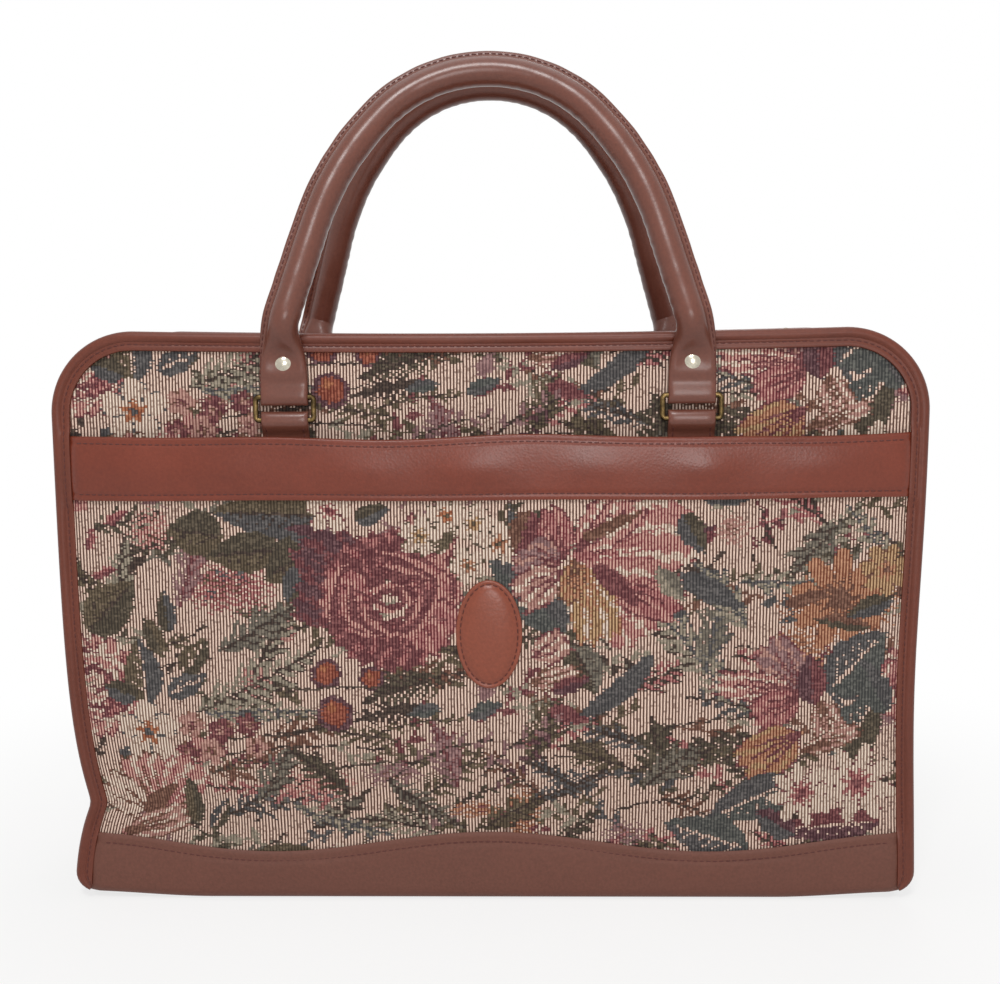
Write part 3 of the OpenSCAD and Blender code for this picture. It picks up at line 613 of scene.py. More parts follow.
# The bouquet from its lowest layer up: motif, place across and up in millimetres, then what the motif takes
BOUQUET = [
    (sprig, -150, 62, 8, 62, "brown", 5), (sprig, -118, 40, 20, 48, "slate", 5),
    (sprig, -60, 84, 12, 46, "olive", 5), (sprig, -96, 72, 170, 40, "wine", 5),
    (sprig, -20, 46, 25, 34, "moss", 5), (sprig, 60, 96, 165, 40, "brown", 5),
    (sprig, 120, 118, 160, 34, "fern", 6), (sprig, 96, 52, 12, 40, "moss", 5),
    (sprig, 182, 182, 200, 50, "moss", 6), (sprig, -176, 172, 55, 30, "fern", 6),
    (sprig, 126, 172, 55, 24, "wine", 6), (sprig, 138, 176, 110, 22, "wine", 5),
    (stem, -146, 72, 4, 96, "ink", 0.05), (stem, -140, 84, 12, 88, "ink", -0.06),
    (stem, -96, 60, 10, 66, "ink", 0.08), (stem, -40, 70, 18, 44, "ink", 0.06),
    (stem, 70, 84, 10, 60, "ink", 0.05), (stem, 76, 66, 170, 52, "ink", -0.06),
    (stem, 118, 130, -14, 46, "ink", 0.04), (stem, 60, 46, 8, 46, "ink", 0.05),
    # tinted patches
    (tint, -125, 159, 46, 26, "crimson"), (tint, -163, 187, 20, 22, "pink"),
    (tint, 170, 149, 58, 34, "rust"), (tint, 116, 186, 16, 16, "blush"), (tint, -86, 60, 40, 16, "pink"),
    (tint, 16, 44, 18, 30, "rust"), (tint, -8, 47, 30, 9, "rust"), (tint, 66, 34, 24, 14, "mauve"),
    (tint, -48, 66, 30, 12, "mauve"), (tint, 150, 128, 30, 20, "rust"),
    # ferns
    (fern, -142, 98, 24, 70, 19, "fern", "ink", 0.08, 6.0), (fern, -114, 118, 62, 42, 15, "fern"),
    (fern, -138, 97, 2, 60, 10, "fern", "slate"), (fern, -24, 116, 200, 40, 15, "moss", "ink", 0.0, 4.0),
    (fern, -30, 100, 190, 36, 10, "ink", "ink", 0.0, 4.0),
    (fern, 116, 103, 126, 76, 16, "fern", "slate", 0.06, 6.0),
    (fern, 92, 146, 160, 30, 12, "slate", "slate"), (fern, 121, 161, 0, 42, 9, "fern", "slate"),
    (fern, 21, 52, 24, 48, 10, "slate", "ink", 0.0, 4.0), (fern, 70, 68, 12, 58, 12, "olive", "ink"),
    (fern, 128, 86, 200, 52, 13, "moss", "ink"), (fern, 147, 166, 42, 50, 13, "fern", "moss", 0.1, 6.0),
    (fern, 196, 166, 128, 40, 11, "fern", "slate", 0.0, 6.0), (fern, -96, 48, -18, 50, 9, "fern", "slate"),
    (fern, -50, 62, -34, 46, 11, "grey", "ink", 0.0, 4.5), (fern, -130, 44, 30, 34, 10, "slate", "ink"),
    (fern, 40, 60, 150, 30, 9, "slate", "ink", 0.0, 4.0),
    (fern, 20, 74, 66, 40, 16, "olive", "ink", 0.06, 5.5, 44, 0.4),
    (fern, 84, 62, 100, 34, 17, "moss", "ink", 0.0, 5.5, 48, 0.4),
    (fern, 76, 60, 40, 36, 14, "grey", "ink", 0.0, 5.5, 44, 0.4),
    (fern, 64, 70, 160, 32, 13, "olive", "ink", 0.0, 5.0, 44, 0.4),
    (fern, -112, 52, 64, 34, 14, "grey", "ink", 0.0, 5.5, 46, 0.4),
    (fern, -70, 56, 140, 36, 13, "moss", "ink", 0.0, 5.0, 44, 0.4),
    (fern, -16, 60, 110, 36, 14, "mauve", "wine", 0.0, 5.0, 44, 0.4),
    (fern, 104, 120, 78, 44, 16, "grey", "slate", 0.0, 5.5, 46, 0.4),
    (fern, 124, 140, 130, 40, 14, "fern", "slate", 0.0, 5.5, 46, 0.4),
    (fern, 168, 190, 230, 36, 13, "grey", "ink", 0.0, 5.5, 46, 0.4),
    (fern, -150, 150, 74, 44, 13, "mauve", "wine", 0.0, 5.5, 44, 0.38),
    (fern, -182, 150, 80, 34, 12, "fern", "ink", 0.0, 5.5, 44, 0.4),
    (fern, -130, 128, 30, 46, 15, "grey", "ink", 0.05, 5.5, 46, 0.4),
    (fern, -6, 36, 30, 40, 13, "olive", "ink", 0.0, 5.0, 44, 0.4),
    # rose and leaves at the left
    (rose, -196, 110, 25, "pink", "wine", "white", "crimson", 3),
    (leaf, -197, 137, 45, 35, 23, "olive", "moss", "ink"),
    (leaf, -156, 137, 97, 21, 10, "moss", "slate", None),
    (leaf, -160, 127, 115, 20, 9, "moss", "olive", None), (leaf, -150, 117, 52, 21, 13, "olive", "moss"),
    (leaf, -169, 101, 95, 33, 20, "olive", "slate"), (leaf, -158, 106, 26, 22, 12, "slate", "slate"),
    (leaf, -174, 104, 160, 18, 12, "slate", "moss", None),
    (leaf, -185, 190, 30, 13, 5, "crimson", "wine", None),
    (leaf, -194, 177, 80, 11, 5, "wine", "crimson", None),
    (leaf, -193, 164, 20, 13, 5, "crimson", "wine", None), (leaf, -176, 166, 40, 15, 4, "ink", "ink", None),
    (leaf, -128, 184, 172, 27, 23, "olive", "moss", "ink"),
    (leaf, -78, 194, 178, 54, 24, "slate", "olive", "ink"),
    (leaf, -100, 178, 186, 36, 20, "olive", "moss", "ink"),
    (leaf, -80, 182, 215, 34, 24, "olive", "moss", "ink"),
    (leaf, -86, 168, 235, 20, 18, "moss", "slate", None),
    (leaf, -70, 178, 160, 30, 15, "slate", "plum", None),
    # white flower, its small neighbours and the peach petals below
    (daisy, -147, 91, 7, 5, "blush", "wine", "brown"), (daisy, -132, 88, 7, 5, "wine", "blush", "brown"),
    (daisy, -137, 78, 7, 5, "blush", "brown", "wine"), (daisy, -118, 91, 6, 5, "wine", "blush", "brown"),
    (daisy, -114, 80, 6, 5, "blush", "wine", "brown"), (daisy, -150, 77, 6, 5, "wine", "blush", "brown"),
    (leaf, -188, 74, 10, 30, 11, "slate", "moss", None),
    (daisy, -170, 87, 16, 5, "white", "orange", "slate", 20),
    (petal, -172, 46, 100, 30, 26, "pink", "brown", 3), (petal, -168, 46, 52, 34, 24, "pink", "crimson", 4),
    (petal, -176, 46, 148, 28, 20, "white", "brown", 2),
    (leaf, -180, 46, 34, 26, 9, "brown", "brown", None), (petal, -190, 34, 16, 38, 16, "blush", "brown", 4),
    (leaf, -148, 40, 100, 25, 11, "olive", "moss", None), (leaf, -140, 36, 60, 20, 9, "slate", "moss"),
    # burgundy rose with its outer petals
    (petal, -58, 150, 128, 44, 32, "plum", "wine", 2), (petal, -62, 148, 165, 32, 26, "plum", "wine", 2),
    (petal, -44, 158, 60, 36, 30, "pink", "wine", 3),
    (rose, -47, 153, 33, "wine", "wine", "pink", "crimson", 5),
    (leaf, -64, 192, 20, 18, 10, "moss", "slate", None),
    # white cluster between the rose and the lily
    (leaf, -26, 176, 70, 24, 12, "moss", "olive"), (leaf, 6, 178, 80, 22, 12, "olive", "slate"),
    (daisy, -33, 184, 10, 5, "white", "gold", "olive", 10),
    (daisy, -20, 194, 10, 5, "white", "orange", "olive", 30),
    (daisy, -7, 190, 10, 5, "white", "gold", "olive", 0),
    (daisy, 5, 180, 11, 5, "white", "rust", "moss", 18),
    (daisy, -10, 170, 9, 5, "white", "rust", "olive", 40),
    (daisy, -76, 196, 11, 5, "white", "crimson", "wine", 12),
    (leaf, 37, 138, 137, 50, 22, "teal", "slate", None),
    # lily
    (petal, 37, 172, 122, 26, 24, "crimson", "wine", 3), (petal, 36, 171, 168, 24, 22, "mauve", "wine", 3),
    (petal, 37, 168, 212, 28, 20, "blush", "wine", 3), (petal, 54, 162, -58, 34, 26, "pink", "crimson", 4),
    (petal, 54, 164, -18, 40, 26, "crimson", "wine", 4), (petal, 38, 174, 14, 60, 40, "pink", "crimson", 6),
    (petal, 40, 176, 42, 40, 24, "pink", "wine", 4), (petal, 44, 172, -76, 40, 24, "gold", "rust", 4),
    (leaf, 50, 170, -42, 30, 10, "wine", "wine", None), (leaf, 44, 182, 25, 34, 6, "brown", "brown", None),
    (petal, 42, 174, -100, 22, 12, "rust", "brown", 2),
    # round the badge
    (leaf, 40, 130, -62, 26, 19, "grey", "moss", "ink"),
    (leaf, 79, 126, 219, 52, 11, "slate", "slate", None, 0.08),
    (petal, 20, 124, 30, 20, 16, "blush", "wine", 2), (petal, 22, 120, -40, 20, 14, "white", "wine", 2),
    (petal, 18, 112, 10, 26, 12, "blush", "brown", 2), (leaf, 30, 108, 20, 20, 8, "wine", "plum", None),
    (leaf, 28, 100, -20, 22, 8, "wine", "wine", None), (berry, -79, 117, 7.5), (berry, -57, 115, 6),
    (berry, -75, 97, 9), (stem, -104, 108, 2, 66, "ink", 0.02),
    (leaf, -24, 100, 190, 16, 7, "teal", "slate", None), (leaf, -10, 96, 20, 18, 8, "teal", "slate", None),
    (leaf, -4, 104, 60, 14, 8, "mauve", "mauve", None), (sprig, -50, 62, 24, 52, "mauve", 7),
    (sprig, -4, 64, 38, 46, "mauve", 7), (sprig, 30, 92, 230, 40, "plum", 6),
    (leaf, 91, 165, -28, 36, 12, "slate", "slate", None),
    (leaf, 80, 168, -50, 22, 10, "grey", "fern", None),
    # bloom, orchid and leaves at the right
    (daisy, 170, 152, 25, 9, "rust", "brown", "brown", 8, 0.8),
    (daisy, 192, 166, 13, 7, "gold", "rust", "brown", 20), (leaf, 166, 107, 46, 40, 28, "slate", "teal"),
    (leaf, 168, 74, 50, 38, 27, "teal", "moss"), (leaf, 196, 96, 120, 30, 16, "teal", "slate", None),
    (petal, 153, 108, 130, 30, 22, "mauve", "wine", 3), (petal, 153, 107, 174, 44, 15, "pink", "wine", 3),
    (petal, 153, 106, 206, 28, 18, "crimson", "wine", 3),
    (petal, 160, 104, -66, 28, 17, "blush", "brown", 3), (petal, 153, 88, 214, 36, 25, "rust", "wine", 4),
    (leaf, 158, 101, 96, 25, 15, "plum", "wine", None), (petal, 150, 76, 20, 34, 10, "blush", "brown", 3),
    (leaf, 127, 26, 162, 44, 22, "slate", "teal"), (leaf, 148, 62, 206, 46, 22, "teal", "slate"),
    (leaf, 192, 40, 184, 54, 17, "plum", "wine"), (leaf, 150, 34, 150, 24, 14, "slate", "plum", None),
    (daisy, 153, 55, 17, 8, "white", "crimson", "wine", 10, 1.3),
    (daisy, 181, 60, 21, 8, "white", "crimson", "wine", 30, 1.3),
    (leaf, 196, 152, 200, 26, 10, "slate", "moss", None),
    (leaf, 142, 150, 15, 24, 7, "brown", "brown", None),
    (leaf, 186, 138, 170, 30, 7, "moss", "brown", None), (leaf, 108, 188, 215, 16, 9, "wine", "plum", None),
    (leaf, 92, 194, -60, 22, 13, "moss", "slate", None),
    (leaf, 20, 196, 250, 22, 14, "wine", "brown", None),
]
MOTIF_REACH = 95.0

# Lacy twigs under the bouquet: how many to a repeat, and the yarns that they are drawn in
TWIGS = 135
TWIG_YARNS = ("olive", "moss", "ink", "brown", "fern", "slate", "wine", "grey", "mauve", "olive", "crimson",
              "fern")


def twigs():
    """Twigs strewn evenly over one repeat, most of them rising to one side, as foliage under the flowers."""
    chance = np.random.default_rng(7)
    across, up = weave_of().repeat_across / MM, weave_of().repeat_up / MM
    for k in range(TWIGS):
        x = ((k * 0.618034 + 0.31) % 1 - 0.5) * across
        z = 20 + ((k + 0.5) / TWIGS) ** 1.3 * up + chance.uniform(-6, 6)
        turn = chance.uniform(-25, 55) if k % 2 else chance.uniform(125, 205)
        yarn = TWIG_YARNS[chance.integers(len(TWIG_YARNS))]
        stalk = yarn if k % 3 else "ink"
        length, curl = chance.uniform(28, 54), chance.uniform(-0.2, 0.2)
        pitch, fan, full = chance.uniform(4.8, 7.0), chance.uniform(34, 54), chance.uniform(0.22, 0.34)
        if k % 13 == 6:
            pale = "blush" if k % 2 else "pink"
            yield (daisy, x, z, chance.uniform(6, 9), 5, pale, "wine", "crimson", turn)
        elif k % 3 == 0:
            yield (fern, x, z, turn, length, chance.uniform(9, 15), yarn, stalk, curl, pitch, fan, full)
        else:
            yield (sprig, x, z, turn, 0.85 * length, yarn, 1.3 * pitch, 0.6 * curl, stalk)


def weave_bouquet(cloth):
    """Draws the bouquet on a cut of cloth, with its repeats."""
    across, up = weave_of().repeat_across / MM, weave_of().repeat_up / MM
    left, right = cloth.u.min() - MOTIF_REACH, cloth.u.max() + MOTIF_REACH
    low, high = cloth.v.min() - MOTIF_REACH, cloth.v.max() + MOTIF_REACH
    for motif, x, z, *rest in (*twigs(), *BOUQUET):
        for i in range(math.floor((left - x) / across), math.ceil((right - x) / across) + 1):
            for k in range(math.floor((low - z) / up), math.ceil((high - z) / up) + 1):
                if left < x + i * across < right and low < z + k * up < high:
                    motif(cloth, x + i * across, z + k * up, *rest)


def tapestry_sheet(name, across, rows, shape, shift=(0.0, 0.0)):
    """Cloth piece with one column of faces for each rib: across is its width, rows the heights of its weave,
    shape gives the places, and shift says where on the cloth it was cut."""
    rib, weft = weave_of().rib / MM, weave_of().weft / MM
    columns = round(across / rib)
    piece, s, t = grid(name, columns, len(rows) - 1)
    mesh = piece.data
    steps = np.arange(len(rows)) / (len(rows) - 1)

    def cut(s, t):
        return (s - 0.5) * columns * rib, np.interp(t, steps, rows)

    u, v = cut(*((face_middles(mesh)[:, :2] + 1) / 2).T)
    cloth = Cloth(u + shift[0], v + shift[1])
    weave_bouquet(cloth)
    for key, values in (("field", cloth.field), ("thread", cloth.thread)):
        colour = np.concatenate([linear(values / 255), np.ones((len(values), 1))], 1)
        layer = mesh.attributes.new(key, "FLOAT_COLOR", "FACE")
        layer.data.foreach_set("color", colour.astype(np.float32).ravel())
    mesh.attributes.new("rib", "FLOAT", "FACE").data.foreach_set("value", cloth.rib.astype(np.float32))
    u, v = cut(s, t)
    corner = np.empty(len(mesh.loops), np.int32)
    mesh.loops.foreach_get("vertex_index", corner)
    layer = mesh.uv_layers[0]
    layer.name = "Weave"
    woven = np.stack([u / rib + columns / 2, v / weft], 1)
    layer.uv.foreach_set("vector", woven[corner].astype(np.float32).ravel())
    place(piece, np.stack(shape(u, v), 1))
    smooth_shade(piece)
    return piece


def drop_faces(piece, outside):
    """Cuts away the faces whose middle, in millimetres, is outside."""
    cut = outside(*(face_middles(piece.data) / MM).T)
    edit(piece, lambda: bpy.ops.mesh.select_all(action="DESELECT"))
    piece.data.polygons.foreach_set("select", cut)
    bpy.ops.object.mode_set(mode="EDIT")
    bpy.ops.mesh.delete(type="FACE")
    bpy.ops.object.mode_set(mode="OBJECT")


# Materials

def feed(tree, node, inputs):
    """Links a node's inputs to sockets, or sets them to plain values."""
    for key, value in inputs.items():
        if isinstance(value, bpy.types.NodeSocket):
            tree.links.new(value, node.inputs[key])
        elif value is not None:
            node.inputs[key].default_value = value


def add_node(tree, kind, inputs=None, **settings):
    """New shader node with its settings and its inputs."""
    node = tree.nodes.new("ShaderNode" + kind)
    for key, value in settings.items():
        setattr(node, key, value)
    feed(tree, node, inputs or {})
    return node


def math_node(tree, operation, a, b=None, c=None, clamp=False):
    return add_node(tree, "Math", {0: a, 1: b, 2: c}, operation=operation, use_clamp=clamp).outputs[0]


def times(tree, a, b):
    return math_node(tree, "MULTIPLY", a, b)


def times_plus(tree, a, b, c, clamp=False):
    return math_node(tree, "MULTIPLY_ADD", a, b, c, clamp)


def less(tree, a, b):
    return math_node(tree, "SUBTRACT", a, b)


def map_range(tree, value, low, high, to_low=0.0, to_high=1.0, kind="SMOOTHSTEP"):
    limits = {"Value": value, "From Min": low, "From Max": high, "To Min": to_low, "To Max": to_high}
    return add_node(tree, "MapRange", limits, interpolation_type=kind).outputs["Result"]


def mix_colour(tree, share, a, b):
    return add_node(tree, "Mix", {0: share, 6: a, 7: b}, data_type="RGBA").outputs[2]


def toned(tree, colour, value):
    """Colour made lighter or darker."""
    return add_node(tree, "HueSaturation", {"Value": value, "Color": colour}).outputs[0]


def noise(tree, vector, scale, detail=3.0, rough=0.55):
    look = {"Vector": vector, "Scale": scale, "Detail": detail, "Roughness": rough}
    return add_node(tree, "TexNoise", look).outputs["Fac"]


def scaled(tree, vector, factors):
    return add_node(tree, "VectorMath", {0: vector, 1: factors}, operation="MULTIPLY").outputs[0]


def seen_rays(tree):
    """1 for rays of the camera, of mirrors and of glass, which see the backdrop white."""
    path = add_node(tree, "LightPath").outputs
    seen = math_node(tree, "MAXIMUM", path["Is Camera Ray"], path["Is Glossy Ray"])
    return math_node(tree, "MAXIMUM", seen, path["Is Transmission Ray"])


def new_group(name, inputs, outputs):
    """Empty shader group, with the sockets that it is given and those that it gives."""
    group = bpy.data.node_groups.new(name, "ShaderNodeTree")
    for kind, label, value in inputs:
        made = group.interface.new_socket(label, in_out="INPUT", socket_type="NodeSocket" + kind)
        if value is not None:
            made.default_value = value
    for kind, label in outputs:
        group.interface.new_socket(label, in_out="OUTPUT", socket_type="NodeSocket" + kind)
    return group, group.nodes.new("NodeGroupInput").outputs, group.nodes.new("NodeGroupOutput").inputs


def ribbed_weave_group():
    """Ribs of bright thread over the colour between them, and specks where the ground thread shows."""
    group, given, out = new_group(
        "Ribbed weave",
        [("Vector", "Weave", None), ("Color", "Field", None), ("Color", "Thread", None),
         ("Float", "Rib", 1.0)],
        [("Color", "Colour"), ("Float", "Height")])
    weave, rib = given["Weave"], given["Rib"]
    sway = noise(group, scaled(group, weave, (0.25, 0.06, 1)), 1.0, 1.0)
    column = add_node(group, "SeparateXYZ", {0: weave}).outputs[0]
    across = times_plus(group, less(group, sway, 0.5), 0.4, column)
    turn = math_node(group, "COSINE", times(group, across, 2 * math.pi))
    profile = times_plus(group, turn, -0.5, 0.5)
    yarn = noise(group, scaled(group, weave, (1.3, 0.45, 1)), 1.0, 3.0, 0.7)
    crossing = add_node(group, "VectorMath", {0: scaled(group, weave, (1, 0.8, 1))}, operation="FLOOR")
    chance = add_node(group, "TexWhiteNoise", {"Vector": crossing.outputs[0]}).outputs["Value"]
    speck = map_range(group, chance, 0.55, 0.95)
    broken = map_range(group, chance, 0.04, 0.2, 0.4, 1.0)
    bright = times(group, map_range(group, times_plus(group, yarn, -0.5, profile), 0.06, 0.48), broken)
    between = times(group, times(group, speck, less(group, 1.0, rib)), 0.85)
    shown = math_node(group, "ADD", times(group, bright, rib), between, clamp=True)
    colour = mix_colour(group, shown, given["Field"], given["Thread"])
    shade = map_range(group, yarn, 0.25, 0.8, 0.72, 1.12, "LINEAR")
    group.links.new(toned(group, colour, shade), out["Colour"])
    raised = times(group, profile, times_plus(group, rib, 0.6, 0.4))
    group.links.new(times_plus(group, speck, 0.3, raised), out["Height"])
    return group


def leatherette_group():
    """Pebbled grain with soft patches of lighter and darker colour, and gloss that follows them."""
    group, given, out = new_group(
        "Leatherette grain",
        [("Vector", "Place", None), ("Color", "Colour", None), ("Float", "Patch", 0.12),
         ("Float", "Rough", 0.4), ("Float", "Spread", 0.1)],
        [("Color", "Colour"), ("Float", "Roughness"), ("Float", "Height")])
    where = given["Place"]
    patch = less(group, noise(group, where, 26.0, 4.0), 0.5)
    fine = noise(group, where, 700.0, 3.0)
    pebbles = {"Scale": 820.0, "Smoothness": 0.6, "Vector": where}
    grain = add_node(group, "TexVoronoi", pebbles, feature="SMOOTH_F1").outputs["Distance"]
    swing = times(group, patch, times(group, given["Patch"], 4.0))
    value = math_node(group, "ADD", math_node(group, "ADD", 1.0, swing), times_plus(group, fine, 0.5, -0.25))
    group.links.new(toned(group, given["Colour"], value), out["Colour"])
    dull = times(group, patch, given["Spread"])
    group.links.new(math_node(group, "ADD", given["Rough"], times(group, dull, 2.0)), out["Roughness"])
    creased = noise(group, where, 260.0, 3.0)
    group.links.new(times_plus(group, creased, 0.8, grain), out["Height"])
    return group


def shared_group(tree, name, maker, inputs):
    """Node of a shared group, which is made once."""
    group = bpy.data.node_groups.get(name) or maker()
    return add_node(tree, "Group", inputs, node_tree=group).outputs


def new_material(name):
    """Empty node material with a Principled shader."""
    made = bpy.data.materials.new(name)
    made.use_nodes = True
    tree = made.node_tree
    tree.nodes.clear()
    shader = add_node(tree, "BsdfPrincipled")
    add_node(tree, "OutputMaterial", {0: shader.outputs[0]})
    return made, tree, shader


def bump(tree, shader, height, strength, depth):
    made = add_node(tree, "Bump", {"Strength": strength, "Distance": depth * MM, "Height": height})
    feed(tree, shader, {"Normal": made.outputs[0]})


def object_place(tree):
    return add_node(tree, "TexCoord").outputs["Object"]


def paint(colour):
    return (*linear(colour), 1.0)


def two_tone(tree, share, colour, darker, lighter):
    """Colour that goes from a darker to a lighter shade of itself."""
    dark, light = (paint(np.minimum(np.asarray(colour) * shade, 1)) for shade in (darker, lighter))
    return mix_colour(tree, share, dark, light)


def material(name, maker, *values):
    """The material of that name, made once."""
    return bpy.data.materials.get(name) or maker(name, *values)


def tapestry_material(name):
    made, tree, shader = new_material(name)
    woven = {"Weave": add_node(tree, "UVMap", uv_map="Weave").outputs[0]}
    for label, output in (("Field", "Color"), ("Thread", "Color"), ("Rib", "Fac")):
        woven[label] = add_node(tree, "Attribute", attribute_name=label.lower()).outputs[output]
    cloth = shared_group(tree, "Ribbed weave", ribbed_weave_group, woven)
    feed(tree, shader, {"Base Color": cloth["Colour"], "Roughness": 0.86, "Specular IOR Level": 0.25})
    bump(tree, shader, cloth["Height"], 0.7, 0.35)
    return made


def leather_material(name, colour, rough, spread, patch, depth, coat):
    made, tree, shader = new_material(name)
    skin = shared_group(tree, "Leatherette grain", leatherette_group, {
        "Place": object_place(tree), "Colour": paint(colour), "Patch": patch, "Rough": rough,
        "Spread": spread})
    feed(tree, shader, {"Base Color": skin["Colour"], "Roughness": skin["Roughness"],
                        "Specular IOR Level": 0.3, "Coat Weight": coat, "Coat Roughness": 0.32})
    bump(tree, shader, skin["Height"], 0.35, depth)
    return made


def thread_material(name, colour):
    made, tree, shader = new_material(name)
    fibre = noise(tree, object_place(tree), 2600.0, 2.0)
    feed(tree, shader, {"Base Color": two_tone(tree, fibre, colour, 0.75, 1.25), "Roughness": 0.7})
    bump(tree, shader, fibre, 0.4, 0.1)
    return made


def woven_material(name, colour, scale):
    """Plain close weave for the lining, the zip tape and the filler cord."""
    made, tree, shader = new_material(name)
    where = object_place(tree)
    bands = {"Scale": scale, "Vector": where}
    x, y, z = (add_node(tree, "TexWave", bands, bands_direction=axis).outputs["Fac"] for axis in "XYZ")
    cross = times(tree, math_node(tree, "ADD", x, y), z)
    fuzz = times(tree, noise(tree, where, 420.0, 3.0), 0.6)
    share = times_plus(tree, cross, 0.35, fuzz, clamp=True)
    feed(tree, shader, {"Base Color": two_tone(tree, share, colour, 0.7, 1.2), "Roughness": 0.9})
    bump(tree, shader, share, 0.5, 0.2)
    return made


def board_material(name, colour):
    made, tree, shader = new_material(name)
    fibre = noise(tree, scaled(tree, object_place(tree), (1, 1, 4)), 160.0, 5.0)
    feed(tree, shader, {"Base Color": two_tone(tree, fibre, colour, 0.8, 1.12), "Roughness": 0.92})
    bump(tree, shader, fibre, 0.3, 0.2)
    return made


def metal_material(name, colour, rough, tarnish):
    made, tree, shader = new_material(name)
    where = object_place(tree)
    cloud = noise(tree, where, 210.0, 5.0, 0.65)
    worn = map_range(tree, cloud, 0.38, 0.68)
    feed(tree, shader, {
        "Base Color": two_tone(tree, worn, colour, 1 - tarnish, 1.0), "Metallic": 1.0,
        "Roughness": map_range(tree, cloud, 0.3, 0.7, rough + 0.16, rough, "LINEAR")})
    bump(tree, shader, noise(tree, where, 1500.0, 2.0), 0.06, 0.05)
    return made


# Each leatherette: roughness, how far it spreads, strength of the patches, depth of the grain, and coat
LEATHERS = {
    "handle": (0.3, 0.08, 0.07, 0.08, 0.2),
    "band": (0.32, 0.14, 0.12, 0.16, 0.12),
    "badge": (0.32, 0.08, 0.08, 0.16, 0.12),
    "piping": (0.44, 0.12, 0.1, 0.1, 0.08),
    "base": (0.6, 0.1, 0.05, 0.16, 0.0),
}


def leather(kind):
    colour = getattr(finish(), kind)
    return material(kind.title() + " leatherette", leather_material, colour, *LEATHERS[kind])


def tapestry():
    return material("Tapestry", tapestry_material)


def brass():
    return material("Antique brass", metal_material, finish().brass, 0.28, 0.45)


# Pieces

def heights(low, high, step):
    count = max(2, round((high - low) / step) + 1)
    return np.linspace(low, high, count)


def cloth_rows(low, dense_from, dense_to, high, coarser=1.0):
    """Heights of the weave's rows, fine where the cloth shows and coarse where other pieces cover it."""
    weft = coarser * weave_of().weft / MM
    runs = [heights(low, dense_from, HIDDEN_ROW)[:-1], heights(dense_from, dense_to, weft)]
    if high > dense_to + weft:
        runs.append(heights(dense_to, high, HIDDEN_ROW)[1:])
    return np.concatenate(runs)


def past_outline(inset):
    """Test for faces that lie outside the case's outline drawn in by an inset."""
    def outside(x, y, z):
        corner_x = np.maximum(np.abs(x) - (HALF_W - TOP_R), 0)
        corner_z = np.maximum(z - (TOP - TOP_R), 0)
        far = np.hypot(corner_x, corner_z) > TOP_R - inset
        return far | (np.abs(x) > HALF_W - inset) | (z > TOP - inset)
    return outside


def gusset_path():
    """Right side of the case from the lower corner over the upper one: points, inward normals, distances."""
    points, inward = outline(2.0)
    ends = points[:, 0] >= HALF_W - TOP_R - 0.01
    points, inward = points[ends] + (GUSSET_IN + 0.3) * inward[ends], inward[ends]
    return points, inward, distances(points)


def gusset_fold(u, v, length):
    """How far a side tucks in between front and back."""
    deep = form().tuck / MM * np.sin(math.pi * np.clip(v / length, 0, 1)) ** 1.5
    return (deep + 0.5 * ripple(3 * u, v)) * (1 - (u / GUSSET_Y) ** 2)


def plate(name, inset, near, far):
    """Flat piece with the case's outline drawn in by an inset, between two depths."""
    points, inward = outline(3.0)
    x, z = slack(*(points + inset * inward).T)
    return loft(name, np.stack([np.stack([x, np.full(len(x), y), z], 1) for y in (near, far)]))


